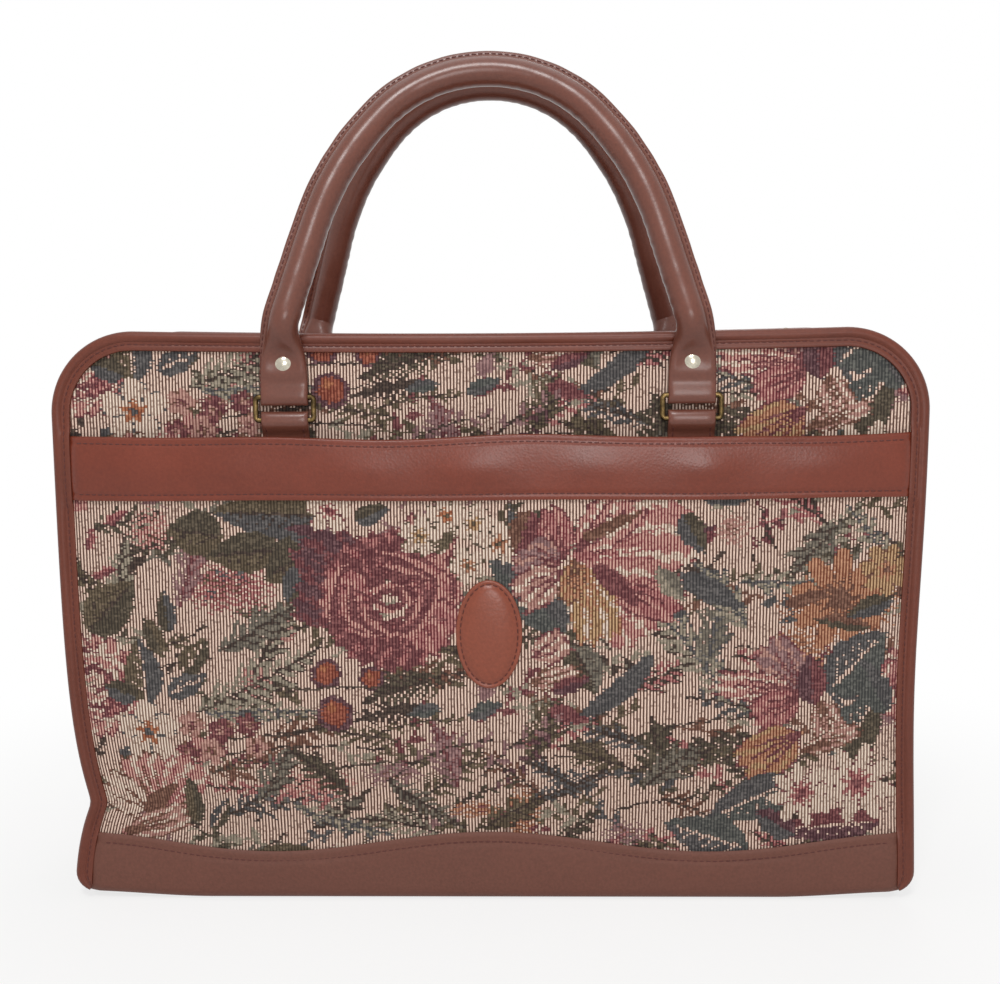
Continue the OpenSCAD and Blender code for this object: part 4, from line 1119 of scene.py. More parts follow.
class BRIEFCASE_OT_tapestry(bpy.types.Operator):
    """Weaves the tapestry and lays it over the front, the pocket, the back and the sides"""

    bl_idname = "briefcase.tapestry"
    bl_label = "Tapestry cloth"

    def execute(self, context):
        def front(u, v):
            x, z = slack(u, v)
            return x, -FACE_Y + 0.2 * ripple(u, v), z

        def back(u, v):
            x, z = slack(-u, v)
            full = np.sin(math.pi * np.clip(v / BACK_SWELL_H, 0, 1))
            full = np.clip(1 - (u / TRIM_HALF) ** 2, 0, 1) * full
            return x, FACE_Y + BACK_SWELL * full + ripple(u, v) * full, z

        def pocket(u, v):
            x, z = slack(u, v)
            edge = smooth((np.abs(u) - (TRIM_HALF - 3)) / 5)
            full = swell(u, v)
            return x, -(POCKET_Y + full + ripple(u, v) * np.minimum(full / 4, 1) - 1.0 * edge), z

        # the rows are fine above the pocket in front, and above the base trim at the back
        wide, top = 2 * (HALF_W - PANEL_IN), TOP - PANEL_IN
        for side, rows, shape, shift in (
                ("front", cloth_rows(PANEL_LOW, 214, top, top), front, (0, -weave_of().panel_shift / MM)),
                ("back", cloth_rows(PANEL_LOW, 18, top, top, COARSER), back, (96, -60))):
            panel = tapestry_sheet(side + "_cloth", wide, rows, shape, shift)
            drop_faces(panel, past_outline(PANEL_CUT))
            finish_piece(panel, "case", "tapestry", tapestry(), side + "_panel")

        broad, mouth = 2 * (TRIM_HALF + TUCK), BAND_TOP - 2
        slip = tapestry_sheet("pocket_cloth", broad, cloth_rows(POCKET_LOW, 20, BAND_LOW + 4, mouth), pocket)
        finish_piece(slip, "case", "tapestry", tapestry(), "front_pocket")

        for side, name in ((-1, "left_gusset"), (1, "right_gusset")):
            self.gusset(side, name)
        return {"FINISHED"}

    def gusset(self, side, node):
        """One side of the case, from the lower corner over the upper corner to the zip strips."""
        points, inward, along = gusset_path()
        deep = 2 * GUSSET_Y

        def shape(u, v):
            x, z = (np.interp(v, along, points[:, k]) for k in range(2))
            nx, nz = (np.interp(v, along, inward[:, k]) for k in range(2))
            fold = gusset_fold(u, v, along[-1])
            x, z = slack(side * (x + nx * fold), z + nz * fold)
            return x, side * u, z

        rows = heights(0, along[-1], COARSER * weave_of().weft / MM)
        cloth = tapestry_sheet(node + "_cloth", deep, rows, shape, (120 * side, -20))
        finish_piece(cloth, "case", "tapestry", tapestry(), node)


class BRIEFCASE_OT_band(bpy.types.Operator):
    """Folds the leatherette band over the pocket's upper edge and sews it down"""

    bl_idname = "briefcase.band"
    bl_label = "Pocket band"
    # where the padding stands up under the band: place across, reach and height
    swells = ((-172, 16, 0.9), (-128, 22, 1.1), (-60, 20, 0.8), (-8, 17, 1.4), (52, 22, 0.7), (104, 14, 1.4),
              (160, 20, 1.0))
    seam_in, fold_r, hem = 3.0, 1.4, 9.0

    def execute(self, context):
        x = np.linspace(-TRIM_HALF - TUCK, TRIM_HALF + TUCK, 221)[:, None]
        tall = BAND_TOP - BAND_LOW
        seams = {"lower": BAND_LOW + self.seam_in, "upper": BAND_TOP - self.seam_in}

        # the section, from the lower edge up the face, over the pocket's mouth and down behind it
        share = np.linspace(0, 1, 31)
        face_up = BAND_LOW + share * (tall - self.fold_r)
        dip = sum(0.55 * np.exp(-((face_up - z) / 0.7) ** 2) for z in seams.values())
        face = WRAP_FRONT + 0.7 * np.sin(math.pi * share) ** 0.5 - dip
        turn = np.radians(np.linspace(0, 180, 9)[1:])
        low_edge = ((POCKET_Y + 0.1, BAND_LOW + 0.5), (WRAP_FRONT - 0.9, BAND_LOW - 0.1),
                    (WRAP_FRONT - 0.25, BAND_LOW - 0.1))
        back_hem = ((FACE_Y + 0.3, BAND_TOP - self.hem), (FACE_Y + 1.2, BAND_TOP - self.hem),
                    (FACE_Y + 1.2, BAND_TOP - self.hem - 0.5))
        over = np.stack([FACE_Y + 1.7 + self.fold_r * np.cos(turn),
                         BAND_TOP - self.fold_r + self.fold_r * np.sin(turn)], 1)
        deep, up = np.concatenate([low_edge, np.stack([face, face_up], 1), over, back_hem]).T[:, None]

        wave = 0.7 * np.sin(x / 31 + 0.6) + 0.45 * np.sin(x / 17 + 1)
        body = np.exp(-((up - (BAND_LOW + BAND_TOP) / 2) / (0.3 * tall)) ** 2)
        soft = body * sum(high * np.exp(-((x - at) / wide) ** 2) for at, wide, high in self.swells)
        level = up + wave * smooth((up - BAND_LOW) / tall) + 0.25 * np.sin(x / 22)
        edge = smooth((np.abs(x) - (TRIM_HALF - 4)) / 6)
        far = deep + swell(x, up) - 1.6 * edge + 0.35 * ripple(x, up) + soft
        px, pz = slack(np.broadcast_to(x, level.shape), level)
        rings = np.stack([px, -far, pz], 2)
        band = loft("pocket_band_leather", rings)
        finish_piece(band, "case", "band_leatherette", leather("band"), "pocket_band")
        for name, height in seams.items():
            column = len(low_edge) + int(np.argmin(np.abs(face_up - height)))
            line = rings[3:-3, column] - np.array([0, 0.1, 0])
            stitches("band_stitches_" + name, line, (0, -1, 0), "case", "band_leatherette")
        return {"FINISHED"}


class BRIEFCASE_OT_base_trim(bpy.types.Operator):
    """Wraps the base in leatherette with a waved upper edge and sews it on"""

    bl_idname = "briefcase.base_trim"
    bl_label = "Base trim"
    seam_drop = 4.2
    # the lower corners are a little tighter than the outline's, and begin further out
    corner_r, corner_out = LOW_R - 1.5, 2.5

    def execute(self, context):
        rings, seams = zip(*(self.section(x) for x in np.linspace(-TRIM_HALF - TUCK, TRIM_HALF + TUCK, 241)))
        trim = loft("base_trim", np.array(rings))
        finish_piece(trim, "case", "base_leatherette", leather("base"), "base_wrap")
        for k, way in enumerate((-1.0, 1.0)):
            line = np.array(seams)[4:-4, k]
            stitches("base_stitches_" + side_name(way), line, (0, way, 0), "case", "base_leatherette")
        return {"FINISHED"}

    def section(self, x):
        """Closed section of the trim at one place along the base, and its stitches' places front and back."""
        corner = max(abs(x) - (HALF_W - LOW_R + self.corner_out), 0.0)
        low = self.corner_r - math.sqrt(max(self.corner_r ** 2 - corner ** 2, 0.0))
        edge = float(smooth((abs(x) - (TRIM_HALF - 4)) / 6))
        top = float(trim_edge(x))
        outer, seam = [], []
        for way, far in ((-1.0, WRAP_FRONT), (1.0, WRAP_BACK)):
            far = far - 1.4 * edge
            share = np.linspace(0, 1, 15)
            z = top - share * (top - low - TRIM_FOLD)
            dip = 0.5 * np.exp(-((top - z - self.seam_drop) / 0.8) ** 2)
            puff = (0.45 + 0.6 * ripple(1.4 * x, 2 * z)) * np.sin(math.pi * share)
            turn = np.radians(np.linspace(0, 90, 8)[1:])
            y = np.concatenate([far + puff - dip, far - TRIM_FOLD * (1 - np.cos(turn))])
            z = np.concatenate([z, low + TRIM_FOLD * (1 - np.sin(turn))])
            outer.append(np.stack([way * y, z], 1))
            sewn = far - 0.35 + 0.45 * math.sin(math.pi * self.seam_drop / (top - low))
            seam_x, seam_z = slack(x, top - self.seam_drop)
            seam.append((seam_x, way * sewn, seam_z))
        under = np.linspace(outer[0][-1, 0], outer[1][-1, 0], 15)[1:-1]
        path = np.concatenate([outer[0], np.stack([under, np.full(len(under), low)], 1), outer[1][::-1]])
        ahead = unit(np.gradient(path, axis=0))
        inner = path + np.stack([-ahead[:, 1], ahead[:, 0]], 1) * LEATHER_T
        lips = (path + inner)[[0, -1]] / 2 + np.array([0, 0.7])
        ring = np.concatenate([path, lips[1:], inner[::-1], lips[:1]])
        px, pz = slack(np.full(len(ring), x), ring[:, 1])
        return np.stack([px, ring[:, 0], pz], 1), seam


class BRIEFCASE_OT_piping(bpy.types.Operator):
    """Runs the covered cord and its sewn flange round the front and the back"""

    bl_idname = "briefcase.piping"
    bl_label = "Piping"
    # how far the narrowed ends stand off the floor at the lower corners
    end_lift = 0.9

    def execute(self, context):
        under, over = FACE_Y + 0.35, FACE_Y + 0.35 + FLANGE_T
        # round the flange's edge, along its outer face with the seam, round the cord and back underneath
        flange = [(FLANGE_IN, under), (FLANGE_IN + 0.25, under + 0.6), (FLANGE_IN - 0.1, over),
                  (7.9, over + 0.15), (6.9, over - 0.1), (6.2, over - 0.45), (5.5, over - 0.15)]
        turn = np.radians(np.linspace(38, 330, 17))
        cord = np.stack([PIPING_R + PIPING_R * np.cos(turn), PIPING_Y + PIPING_R * np.sin(turn)], 1)
        section = np.concatenate([flange, cord, [(5.2, under)]])
        points, inward = outline(2.4)
        level = np.abs(inward[:, 0])
        keep = (points[:, 1] > LOW_R) | (level > 0.28)
        points, inward, level = points[keep], inward[keep], level[keep]
        # round the lower corners the section narrows, so that the flange's inner edge runs straight down
        straight = (LOW_R - (LOW_R - FLANGE_IN) / np.maximum(level, 0.1)) / FLANGE_IN
        narrow = np.where(points[:, 1] < LOW_R, straight, 1)[:, None]
        for way in (-1.0, 1.0):
            self.run(way, section, points, inward, narrow)
        return {"FINISHED"}

    def run(self, way, section, points, inward, narrow):
        side = side_name(way)
        n, deep = section.T[:, None]
        x = points[:, :1] + inward[:, :1] * n * narrow
        z = points[:, 1:] + inward[:, 1:] * n * narrow + self.end_lift * (1 - narrow)
        climb = self.climb(points, way)[:, None] * smooth((n - 4.0) / 2.0)
        waver = 0.25 * np.sin(np.arange(len(points)) / 5.3)[:, None] * (n > 4)
        px, pz = slack(x, z)
        rings = np.stack([px, way * (deep + climb + waver), pz], 2)
        piece = loft(side + "_piping_cover", rings)
        finish_piece(piece, "case", "piping_leatherette", leather("piping"), side + "_piping")
        seam = 5
        line = rings[:, seam] + np.array([0, way * 0.12, 0])
        stitches(side + "_piping_stitches", line, (0, way, 0), "case", "piping_leatherette", 0.65)

    def climb(self, points, way):
        """How far the flange climbs where it is sewn over the ends of the band and the base trim."""
        z, at_side = points[:, 1], np.abs(points[:, 0]) > HALF_W - LOW_R
        over_base = 1 - smooth((z - TRIM_H - 1) / 7)
        over_band = smooth((z - BAND_LOW + 5) / 5) * (1 - smooth((z - BAND_TOP) / 5))
        return 1.5 * at_side * (np.maximum(over_base, over_band) if way < 0 else over_base)


class BRIEFCASE_OT_zip(bpy.types.Operator):
    """Lays the leatherette strips beside the zip and finishes its tapes and metal"""

    bl_idname = "briefcase.zip"
    bl_label = "Zip"

    def execute(self, context):
        for way in (-1.0, 1.0):
            self.strip(way)
        tape = material("Zip tape", woven_material, finish().tape, 420.0)
        for node in ("front_zip_tape", "back_zip_tape"):
            dress_node(node, tape)
        for node in ("front_zip_teeth", "back_zip_teeth", "zip_stops", "zip_slider", "zip_pull"):
            dress_node(node, brass())
        return {"FINISHED"}

    def strip(self, way):
        side = side_name(way)
        x = np.linspace(-STRIP_HALF, STRIP_HALF, 141)[:, None]
        y = np.linspace(SLOT_HALF, GUSSET_Y + 0.6, 15)
        half_t = LEATHER_T / 2
        lip = np.radians(np.linspace(90, 270, 7)[1:-1])[::-1]
        fold = np.stack([SLOT_HALF + half_t * np.cos(lip), STRIP_TOP - half_t + half_t * np.sin(lip)], 1)
        upper = np.stack([y, np.full(len(y), STRIP_TOP)], 1)
        section = np.concatenate([upper, upper[::-1] - np.array([0, LEATHER_T]), fold])
        across, up = section.T[:, None]
        out = np.clip((across - SLOT_HALF) / (GUSSET_Y - SLOT_HALF), 0, 1)
        _, edge = slack(x, np.full(x.shape, STRIP_TOP))
        level = up - (STRIP_TOP - edge) * out ** 0.8 + 0.25 * np.sin(x / 19) * out * (1 - out)
        level = level + 0.5 * np.sin(math.pi * out) * (up > STRIP_TOP - 0.1)
        rings = np.stack(np.broadcast_arrays(x, way * across, level), 2)
        strip = loft(side + "_zip_facing", rings)
        finish_piece(strip, "case", "band_leatherette", leather("band"), side + "_zip_strip")
        for name, at in (("inner", SLOT_HALF + 2.6), ("outer", GUSSET_Y - 3.5)):
            line = rings[2:-2, int(np.argmin(np.abs(y - at)))] + np.array([0, 0, 0.12])
            stitches(f"{side}_zip_stitches_{name}", line, (0, 0, 1), "case", "band_leatherette", 0.6)


def rounded_bar(turn, width, thick, round_ends, round_faces):
    """Flat section with rounded edges: distances along its width and its thickness."""
    c, s = np.cos(turn), np.sin(turn)
    return (width / 2 * np.sign(c) * np.abs(c) ** round_ends,
            thick / 2 * np.sign(s) * np.abs(s) ** round_faces)


def loop_thickness(past):
    """Thickness of a leatherette loop at a distance past its bar."""
    return 2 * LOOP_R * math.sqrt(max(1 - (past / LOOP_L) ** 2, 0.001))


def bore(piece, x, y, z):
    """Cuts the round hole that a ring's bar runs in."""
    bpy.ops.object.select_all(action="DESELECT")
    bpy.ops.mesh.primitive_cylinder_add(vertices=24, radius=(WIRE_R + 0.1) * MM, depth=2 * STRAP_W * MM,
                                        location=(x * MM, y * MM, z * MM), rotation=(0, math.pi / 2, 0))
    drill = bpy.context.object
    apply_modifier(piece, "BOOLEAN", operation="DIFFERENCE", solver="EXACT", object=drill)
    bpy.data.objects.remove(drill)


class BRIEFCASE_OT_tabs(bpy.types.Operator):
    """Makes the four tabs that hold the rings to the case"""

    bl_idname = "briefcase.tabs"
    bl_label = "Ring tabs"

    def execute(self, context):
        for way in (-1.0, 1.0):
            for side in (-1.0, 1.0):
                self.tab(way, side)
        return {"FINISHED"}

    def tab(self, way, side):
        node = f"{side_name(way)}_{'left' if side < 0 else 'right'}_tab"
        low = side_of(node, 0, 2)
        loop = LOWER_BAR + LOOP_L * np.sin(np.radians([15, 30, 45, 60, 74, 85]))
        levels = np.concatenate([np.linspace(low + 0.1, LOWER_BAR - 8, 9),
                                 np.linspace(LOWER_BAR - 6.5, LOWER_BAR, 8), loop])
        flat_y, flat_t = FACE_Y + LEATHER_T, 2 * LEATHER_T
        turn = np.linspace(0, 2 * math.pi, 36, endpoint=False)
        rings, face = [], []
        for z in levels:
            near = float(smooth((z - (LOWER_BAR - 8)) / 7))
            thick = flat_t + (2 * LOOP_R - flat_t) * near
            if z > LOWER_BAR:
                thick = loop_thickness(z - LOWER_BAR)
            middle = flat_y + (STRAP_Y - flat_y) * near
            corner = max(0.0, TAB_CORNER - (z - low))
            width = STRAP_W - 2 * (TAB_CORNER - math.sqrt(max(TAB_CORNER ** 2 - corner ** 2, 0.0)))
            across, deep = rounded_bar(turn, width, thick, 0.3, 0.55)
            x, y = side * STRAP_X + across, way * (middle + deep)
            rings.append(np.stack([x, y, np.full(len(turn), z)], 1))
            face.append(way * (middle + thick / 2))
        tab = loft(node + "_leather", np.array(rings))
        bore(tab, side * STRAP_X, way * STRAP_Y, LOWER_BAR)
        smooth_shade(tab, 50)
        finish_piece(tab, "case", "handle_leatherette", leather("handle"), node)
        side_name(way) + "_cloth"
        inset = STRAP_W / 2 - 2.4
        for k, x in enumerate((-inset, inset)):
            line = np.array([(side * STRAP_X + x, face[j] + way * 0.05, levels[j]) for j in range(1, 13)])
            stitches(f"{node}_stitches_{k}", line, (0, way, 0), "case", "handle_leatherette", 0.65)


class BRIEFCASE_OT_handles(bpy.types.Operator):
    """Makes the two padded handles with their strap ends"""

    bl_idname = "briefcase.handles"
    bl_label = "Handles"

    def execute(self, context):
        places, out, far = self.path()
        cord = material("Filler cord", woven_material, finish().cord, 300.0)
        for way in (-1.0, 1.0):
            self.handle(way, places, out, far)
            dress_node(side_name(way) + "_handle_core", cord)
        return {"FINISHED"}

    def path(self):
        """Centre line of half a handle from the strap's end to the crown, as (across, forward, up),
        with the axis that points out of the arch and the distance along the line."""
        lean, slope, crown = (math.radians(angle) for angle in (ARCH_LEAN, LEG_ANGLE, CROWN_ANGLE))
        lean_sin, leg_sin, crown_sin = (math.sin(angle) for angle in (lean, slope, crown))
        lean_cos, leg_cos, crown_cos = (math.cos(angle) for angle in (lean, slope, crown))

        def in_plane(x, s):
            return np.stack([x, ARCH_Y - s * lean_sin, ARCH_Z + s * lean_cos], -1)

        def axis(turn):
            return np.stack([np.cos(turn), -np.sin(turn) * lean_sin, np.sin(turn) * lean_cos], -1)

        loop = UPPER_BAR + LOOP_L * np.sin(np.radians([-84, -72, -58, -44, -30, -15, 0]))
        level = np.concatenate([loop, np.linspace(UPPER_BAR + 1, UPPER_BAR + 7, 7),
                                np.linspace(UPPER_BAR + 8, STRAP_TOP, 12)])
        strap = np.stack([np.full(len(level), STRAP_X), np.full(len(level), STRAP_Y), level], 1)
        # up the leg, round the shoulder and round the crown: places in the arch's plane
        foot_x = SHOULDER_R * leg_cos - (SHOULDER_R - CROWN_R) * crown_cos + LEG_L * leg_sin
        leg = np.linspace(1, LEG_L, 33)[:-1]
        side_turn, top_turn = np.linspace(slope, crown, 49)[:-1], np.linspace(crown, math.pi / 2, 43)
        leg_x, leg_s = foot_x - leg * leg_sin, leg * leg_cos
        side_x = foot_x - LEG_L * leg_sin + SHOULDER_R * (np.cos(side_turn) - leg_cos)
        side_s = LEG_L * leg_cos + SHOULDER_R * (np.sin(side_turn) - leg_sin)
        top_x = CROWN_R * np.cos(top_turn)
        top_s = (LEG_L * leg_cos + SHOULDER_R * (crown_sin - leg_sin)
                 + CROWN_R * (np.sin(top_turn) - crown_sin))
        arch = in_plane(np.concatenate([leg_x, side_x, top_x]), np.concatenate([leg_s, side_s, top_s]))
        leg_way = np.array([-leg_sin, -leg_cos * lean_sin, leg_cos * lean_cos])
        # the gather bends from the strap into the leg
        share = np.linspace(0, 1, 20)[1:-1, None]
        start, end = strap[-1], arch[0]
        a, b = start + np.array([0, 0, 9.0]), end - 7.0 * leg_way
        gather = ((1 - share) ** 3 * start + 3 * (1 - share) ** 2 * share * a
                  + 3 * (1 - share) * share ** 2 * b + share ** 3 * end)
        gather_out = (1 - smooth(share)) * np.array([1.0, 0, 0]) + smooth(share) * axis(np.array([slope]))
        out = np.concatenate([np.tile((1.0, 0, 0), (len(strap), 1)), gather_out,
                              axis(np.concatenate([np.full(len(leg), slope), side_turn, top_turn]))])
        places = np.concatenate([strap, gather, arch])
        return places, out, distances(places)

    def roll_section(self):
        """Section of the grip: flange on the outer edge, then round the roll."""
        tip = GRIP_R + GRIP_FLANGE
        side = [(tip - 0.25, 0.85), (tip - 1.0, 1.2), (tip - 1.9, 1.05), (tip - 2.8, 1.25),
                (GRIP_R + 0.2, 1.35)]
        turn = np.radians(np.linspace(15, 345, 31))
        roll = np.stack([GRIP_R * np.cos(turn), GRIP_R * np.sin(turn)], 1)
        return np.concatenate([[(tip, 0.0)], side, roll, [(n, -b) for n, b in side[::-1]]])

    def strap_thickness(self, z):
        """Thickness of the strap end, which swells into the loop round the ring's bar."""
        if z < UPPER_BAR:
            return loop_thickness(UPPER_BAR - z)
        flat = 2 * LEATHER_T + 0.5
        return flat + (2 * LOOP_R - flat) * float(1 - smooth((z - UPPER_BAR) / 8))

    def half(self, places, out, front, far, roll):
        """Rings of half a handle: the flat strap, which turns into the wrinkled roll of the grip."""
        angle = np.linspace(0, 2 * math.pi, len(roll), endpoint=False)
        padded = np.clip(np.sin(angle), 0, 1)
        inner = np.clip(-roll[:, 0] / GRIP_R, 0, 1) ** 3
        strap_end = int(np.argmin(np.abs(places[:, 2] - STRAP_TOP)))
        grip = smooth((far - far[strap_end] + 9) / 27)
        wrinkle = 0.5 + 0.3 * np.sin(far / 0.9 + 2.4 * np.sin(far / 11)) + 0.2 * np.sin(far / 1.55 + 1.3)
        wrinkle *= 0.55 + 0.45 * np.sin(far / 8.3 + 1) * np.sin(far / 19)
        lump = np.sin(far / 3.1 + 1.7 * np.sin(far / 9.7))
        lump += 0.7 * np.sin(far / 5.3 + 2 * np.sin(far / 21) + 1)
        rings = []
        for k, at in enumerate(places):
            round_, flat = grip[k], 1 - grip[k]
            width = STRAP_W * (1 + 0.02 * round_)
            flat_n, flat_b = rounded_bar(angle, width, self.strap_thickness(at[2]), 0.22, 0.6)
            flat_b = flat_b + PADDING * float(smooth((at[2] - UPPER_BAR - 5) / 8)) * padded
            creased = 1 - 0.06 * round_ * wrinkle[k] * inner + 0.006 * lump[k]
            n = flat * flat_n + round_ * roll[:, 0] * creased
            b = flat * flat_b + round_ * roll[:, 1] * (1 + 0.009 * lump[k])
            ring = at + n[:, None] * out[k] + b[:, None] * -front[k]
            # the rivet draws the padding in round its cap and its washer
            drawn = np.exp(-(np.hypot(ring[:, 0] - STRAP_X, ring[:, 2] - RIVET_Z) / RIVET_REACH) ** 4)
            held = np.clip(ring[:, 1], STRAP_Y - LEATHER_T, STRAP_Y + LEATHER_T)
            ring[:, 1] += drawn * (held - ring[:, 1])
            rings.append(ring)
        return np.array(rings)

    def handle(self, way, places, out, far):
        side = side_name(way)
        roll = self.roll_section()
        ahead = unit(np.gradient(places, axis=0))
        out = unit(out - (out * ahead).sum(1, keepdims=True) * ahead)
        front = np.cross(out, ahead)

        def whole(half):
            """Both halves, on this side of the case."""
            return np.concatenate([half, half[:-1][::-1] * np.array([-1.0, 1, 1])]) * np.array([1, way, 1])

        rings = whole(self.half(places, out, front, far, roll))
        cover = loft(side + "_handle_leather", rings)
        for x in (-STRAP_X, STRAP_X):
            bore(cover, x, way * STRAP_Y, UPPER_BAR)
        smooth_shade(cover, 60)
        body = side + "_handle"
        finish_piece(cover, body, "handle_leatherette", leather("handle"), body + "_cover")
        for name, seam, lift in (("outer", 3, -1.0), ("inner", len(roll) - 3, 1.0)):
            up = lift * whole(front)[10:-10]
            line = rings[10:-10, seam] + 0.1 * up
            stitches(f"{body}_stitches_{name}", line, up, body, "handle_leatherette", 0.7)


class BRIEFCASE_OT_badge(bpy.types.Operator):
    """Makes the padded oval badge, left bare"""

    bl_idname = "briefcase.badge"
    bl_label = "Badge"
    # share of the radius and share of the height, from the back over the lip and the seam to the middle
    profile = ((0.9, -0.15), (0.985, 0.0), (1.0, 0.16), (0.995, 0.36), (0.965, 0.5), (0.925, 0.52),
               (0.89, 0.44), (0.862, 0.34), (0.83, 0.46), (0.78, 0.68), (0.68, 0.94), (0.52, 1.16),
               (0.34, 1.28), (0.16, 1.33), (0.04, 1.34))
    seam = 7

    def execute(self, context):
        low, high = (np.array(corner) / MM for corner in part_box("badge"))
        half_w, half_h, middle = high[0], (high[2] - low[2]) / 2, (high[2] + low[2]) / 2
        turn = np.linspace(0, 2 * math.pi, 96, endpoint=False)
        rings = []
        for share, rise in self.profile:
            # the rim is evenly wide, and further in the rings keep the oval's shape
            reach = half_h - (1 - share) * half_w if share > 0.6 else share * half_h
            y = high[1] - rise * (high[1] - low[1])
            rings.append(np.stack([share * half_w * np.cos(turn), np.full(len(turn), y),
                                   middle + reach * np.sin(turn)], 1))
        badge = loft("badge_pad", np.array(rings))
        apply_modifier(badge, "SUBSURF", levels=1, render_levels=1)
        smooth_shade(badge)
        finish_piece(badge, "case", "band_leatherette", leather("badge"), "badge")
        line = np.concatenate([rings[self.seam], rings[self.seam][:1]]) + np.array([0, -0.15, 0])
        stitches("badge_stitches", line, (0, -1, 0), "case", "band_leatherette", 0.65)
        return {"FINISHED"}


class BRIEFCASE_OT_inside(bpy.types.Operator):
    """Cuts the boards and sews the lining, drawn in with the soft sides"""

    bl_idname = "briefcase.inside"
    bl_label = "Boards and lining"

    def execute(self, context):
        card = material("Fibre board", board_material, finish().board)
        for side in ("front", "back"):
            near, far = (side_of(side + "_board", corner, 1) for corner in (0, 1))
            stiffener = plate(side + "_stiffener", BOARD_IN, near, far)
            finish_piece(stiffener, "case", "board", card, side + "_board")
        dress_node("base_board", card)

        points, inward, along = gusset_path()
        y = np.linspace(-LINING_Y, LINING_Y, 15)
        across = np.concatenate([y, y[::-1]])
        behind = LINING_IN - GUSSET_IN + np.repeat((0, LINING_T), len(y))
        halves = []
        for side in (1.0, -1.0):
            fold = gusset_fold(side * across[None], along[:, None], along[-1]) + behind[None]
            x, z = slack(side * (points[:, :1] + inward[:, :1] * fold), points[:, 1:] + inward[:, 1:] * fold)
            halves.append(np.stack([x, np.broadcast_to(across[None], x.shape), z], 2))
        bag = loft("lining_cloth", np.concatenate([halves[0][::-1], halves[1]]))
        walls = [plate("wall", LINING_IN + 1, y, y + LINING_T) for y in (-LINING_Y, LINING_Y - LINING_T)]
        pick(bag, *walls)
        bpy.ops.object.join()
        cloth = material("Lining", woven_material, finish().lining, 380.0)
        finish_piece(bag, "case", "lining", cloth, "lining")
        # two walls and the strip round them, cut from one width of cloth
        return {"FINISHED"}


class BRIEFCASE_OT_fittings(bpy.types.Operator):
    """Finishes the rings and the rivets"""

    bl_idname = "briefcase.fittings"
    bl_label = "Rings and rivets"

    def execute(self, context):
        caps = material("Rivet metal", metal_material, finish().rivet, 0.16, 0.15)
        for side in ("front", "back"):
            dress_node(side + "_left_ring", brass())
            dress_node(side + "_right_ring", brass())
            dress_node(side + "_handle_rivets", caps)
        return {"FINISHED"}


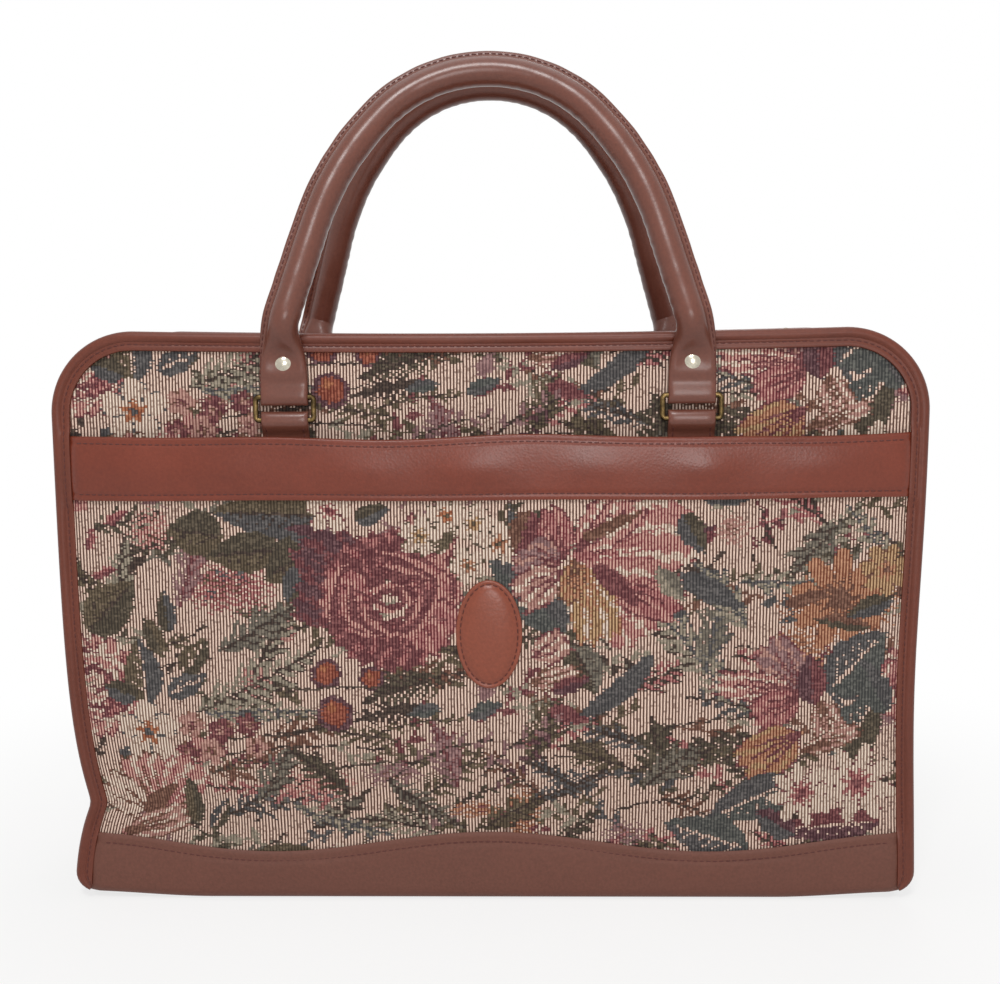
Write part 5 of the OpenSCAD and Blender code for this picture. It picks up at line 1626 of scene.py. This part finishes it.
class BRIEFCASE_OT_stage(bpy.types.Operator):
    """Sets the floor, the soft studio light and the camera"""

    bl_idname = "briefcase.stage"
    bl_label = "Stage"
    # name, place and size in metres, and power
    lamps = (("key_light", (-0.1, -1.1, 1.5), 0.45, 14.0), ("fill_light", (0.2, -1.7, 0.5), 0.6, 7.5),
             ("top_light", (0.0, 0.15, 1.7), 1.4, 4.2), ("rear_light", (0.5, 1.6, 1.0), 1.2, 6.0))
    ambient = 0.28
    # the floor's share of white beside the case, which grows to all of it from near to far
    floor_share, floor_near, floor_far, floor_size = 0.75, 0.2, 0.5, 14

    def execute(self, context):
        self.camera(context.scene)
        self.floor()
        for lamp in self.lamps:
            self.lamp(*lamp)
        self.world(context.scene)
        context.scene.view_settings.view_transform = "Standard"
        return {"FINISHED"}

    def camera(self, scene):
        target = Vector(LOOK_AT) * MM
        round_it, down = math.radians(LOOK_ROUND), math.radians(LOOK_DOWN)
        level = math.cos(down)
        back = Vector((math.sin(round_it) * level, -math.cos(round_it) * level, math.sin(down)))
        data = bpy.data.cameras.new("camera")
        data.sensor_width = SENSOR
        data.lens = FOCAL_PX / IMAGE_W * SENSOR
        data.clip_start, data.clip_end = 0.02, 50
        camera = bpy.data.objects.new("camera", data)
        roll = Matrix.Rotation(math.radians(LOOK_ROLL), 3, "Z")
        turn = (-back).to_track_quat("-Z", "Y").to_matrix() @ roll
        camera.matrix_world = Matrix.Translation(target + back * LOOK_FROM * MM) @ turn.to_4x4()
        scene.collection.objects.link(camera)
        scene.camera = camera

    def floor(self):
        bpy.ops.object.select_all(action="DESELECT")
        bpy.ops.mesh.primitive_circle_add(vertices=64, radius=self.floor_size, fill_type="NGON")
        ground = bpy.context.object
        ground.name = "floor"
        made, tree, shader = new_material("Floor")
        pale = paint(finish().floor)
        feed(tree, shader, {"Roughness": 0.9, "Base Color": pale, "Specular IOR Level": 0.1})
        far = add_node(tree, "VectorMath", {0: object_place(tree)}, operation="LENGTH").outputs["Value"]
        share = map_range(tree, far, self.floor_near, self.floor_far, self.floor_share, 1.0)
        white = add_node(tree, "Emission")
        mix = add_node(tree, "MixShader", {0: times(tree, share, seen_rays(tree)), 1: shader.outputs[0],
                                           2: white.outputs[0]})
        output = next(node for node in tree.nodes if node.type == "OUTPUT_MATERIAL")
        feed(tree, output, {0: mix.outputs[0]})
        ground.data.materials.append(made)

    def lamp(self, name, at, size, power):
        data = bpy.data.lights.new(name, "AREA")
        data.shape, data.size, data.energy = "DISK", size, power
        lamp = bpy.data.objects.new(name, data)
        lamp.location = at
        lamp.rotation_mode = "QUATERNION"
        lamp.rotation_quaternion = (Vector((0, 0, 0.2)) - Vector(at)).to_track_quat("-Z", "Y")
        bpy.context.scene.collection.objects.link(lamp)

    def world(self, scene):
        scene.world = bpy.data.worlds.new("studio")
        scene.world.use_nodes = True
        tree = scene.world.node_tree
        tree.nodes.clear()
        white = (1, 1, 1, 1)
        light = add_node(tree, "Background", {"Color": white, "Strength": self.ambient})
        seen = add_node(tree, "Background", {"Color": white})
        mix = add_node(tree, "MixShader", {0: seen_rays(tree), 1: light.outputs[0], 2: seen.outputs[0]})
        add_node(tree, "OutputWorld", {0: mix.outputs[0]})


OPERATORS = (BRIEFCASE_OT_stage, BRIEFCASE_OT_tapestry, BRIEFCASE_OT_band, BRIEFCASE_OT_base_trim,
             BRIEFCASE_OT_piping, BRIEFCASE_OT_zip, BRIEFCASE_OT_tabs, BRIEFCASE_OT_handles,
             BRIEFCASE_OT_badge, BRIEFCASE_OT_fittings, BRIEFCASE_OT_inside)
GROUPS = {"briefcase_form": BriefcaseForm, "briefcase_cloth": BriefcaseCloth,
          "briefcase_colours": BriefcaseColours}


class BRIEFCASE_PT_panel(bpy.types.Panel):
    """Lists the briefcase's pieces"""

    bl_idname = "BRIEFCASE_PT_panel"
    bl_label = "Briefcase"
    bl_space_type = "VIEW_3D"
    bl_region_type = "UI"
    bl_category = "Briefcase"

    def draw(self, context):
        for operator in OPERATORS:
            self.layout.operator(operator.bl_idname)
        for name, group in GROUPS.items():
            for key in group.__annotations__:
                self.layout.prop(getattr(context.scene, name), key)


def register():
    for name, group in GROUPS.items():
        bpy.utils.register_class(group)
        setattr(bpy.types.Scene, name, bpy.props.PointerProperty(type=group))
    for made in (*OPERATORS, BRIEFCASE_PT_panel):
        bpy.utils.register_class(made)


def unregister():
    for made in (BRIEFCASE_PT_panel, *reversed(OPERATORS)):
        bpy.utils.unregister_class(made)
    for name, group in GROUPS.items():
        delattr(bpy.types.Scene, name)
        bpy.utils.unregister_class(group)


def main():
    register()
    for operator in OPERATORS:
        family, name = operator.bl_idname.split(".")
        getattr(getattr(bpy.ops, family), name)()


if __name__ == "__main__":
    main()
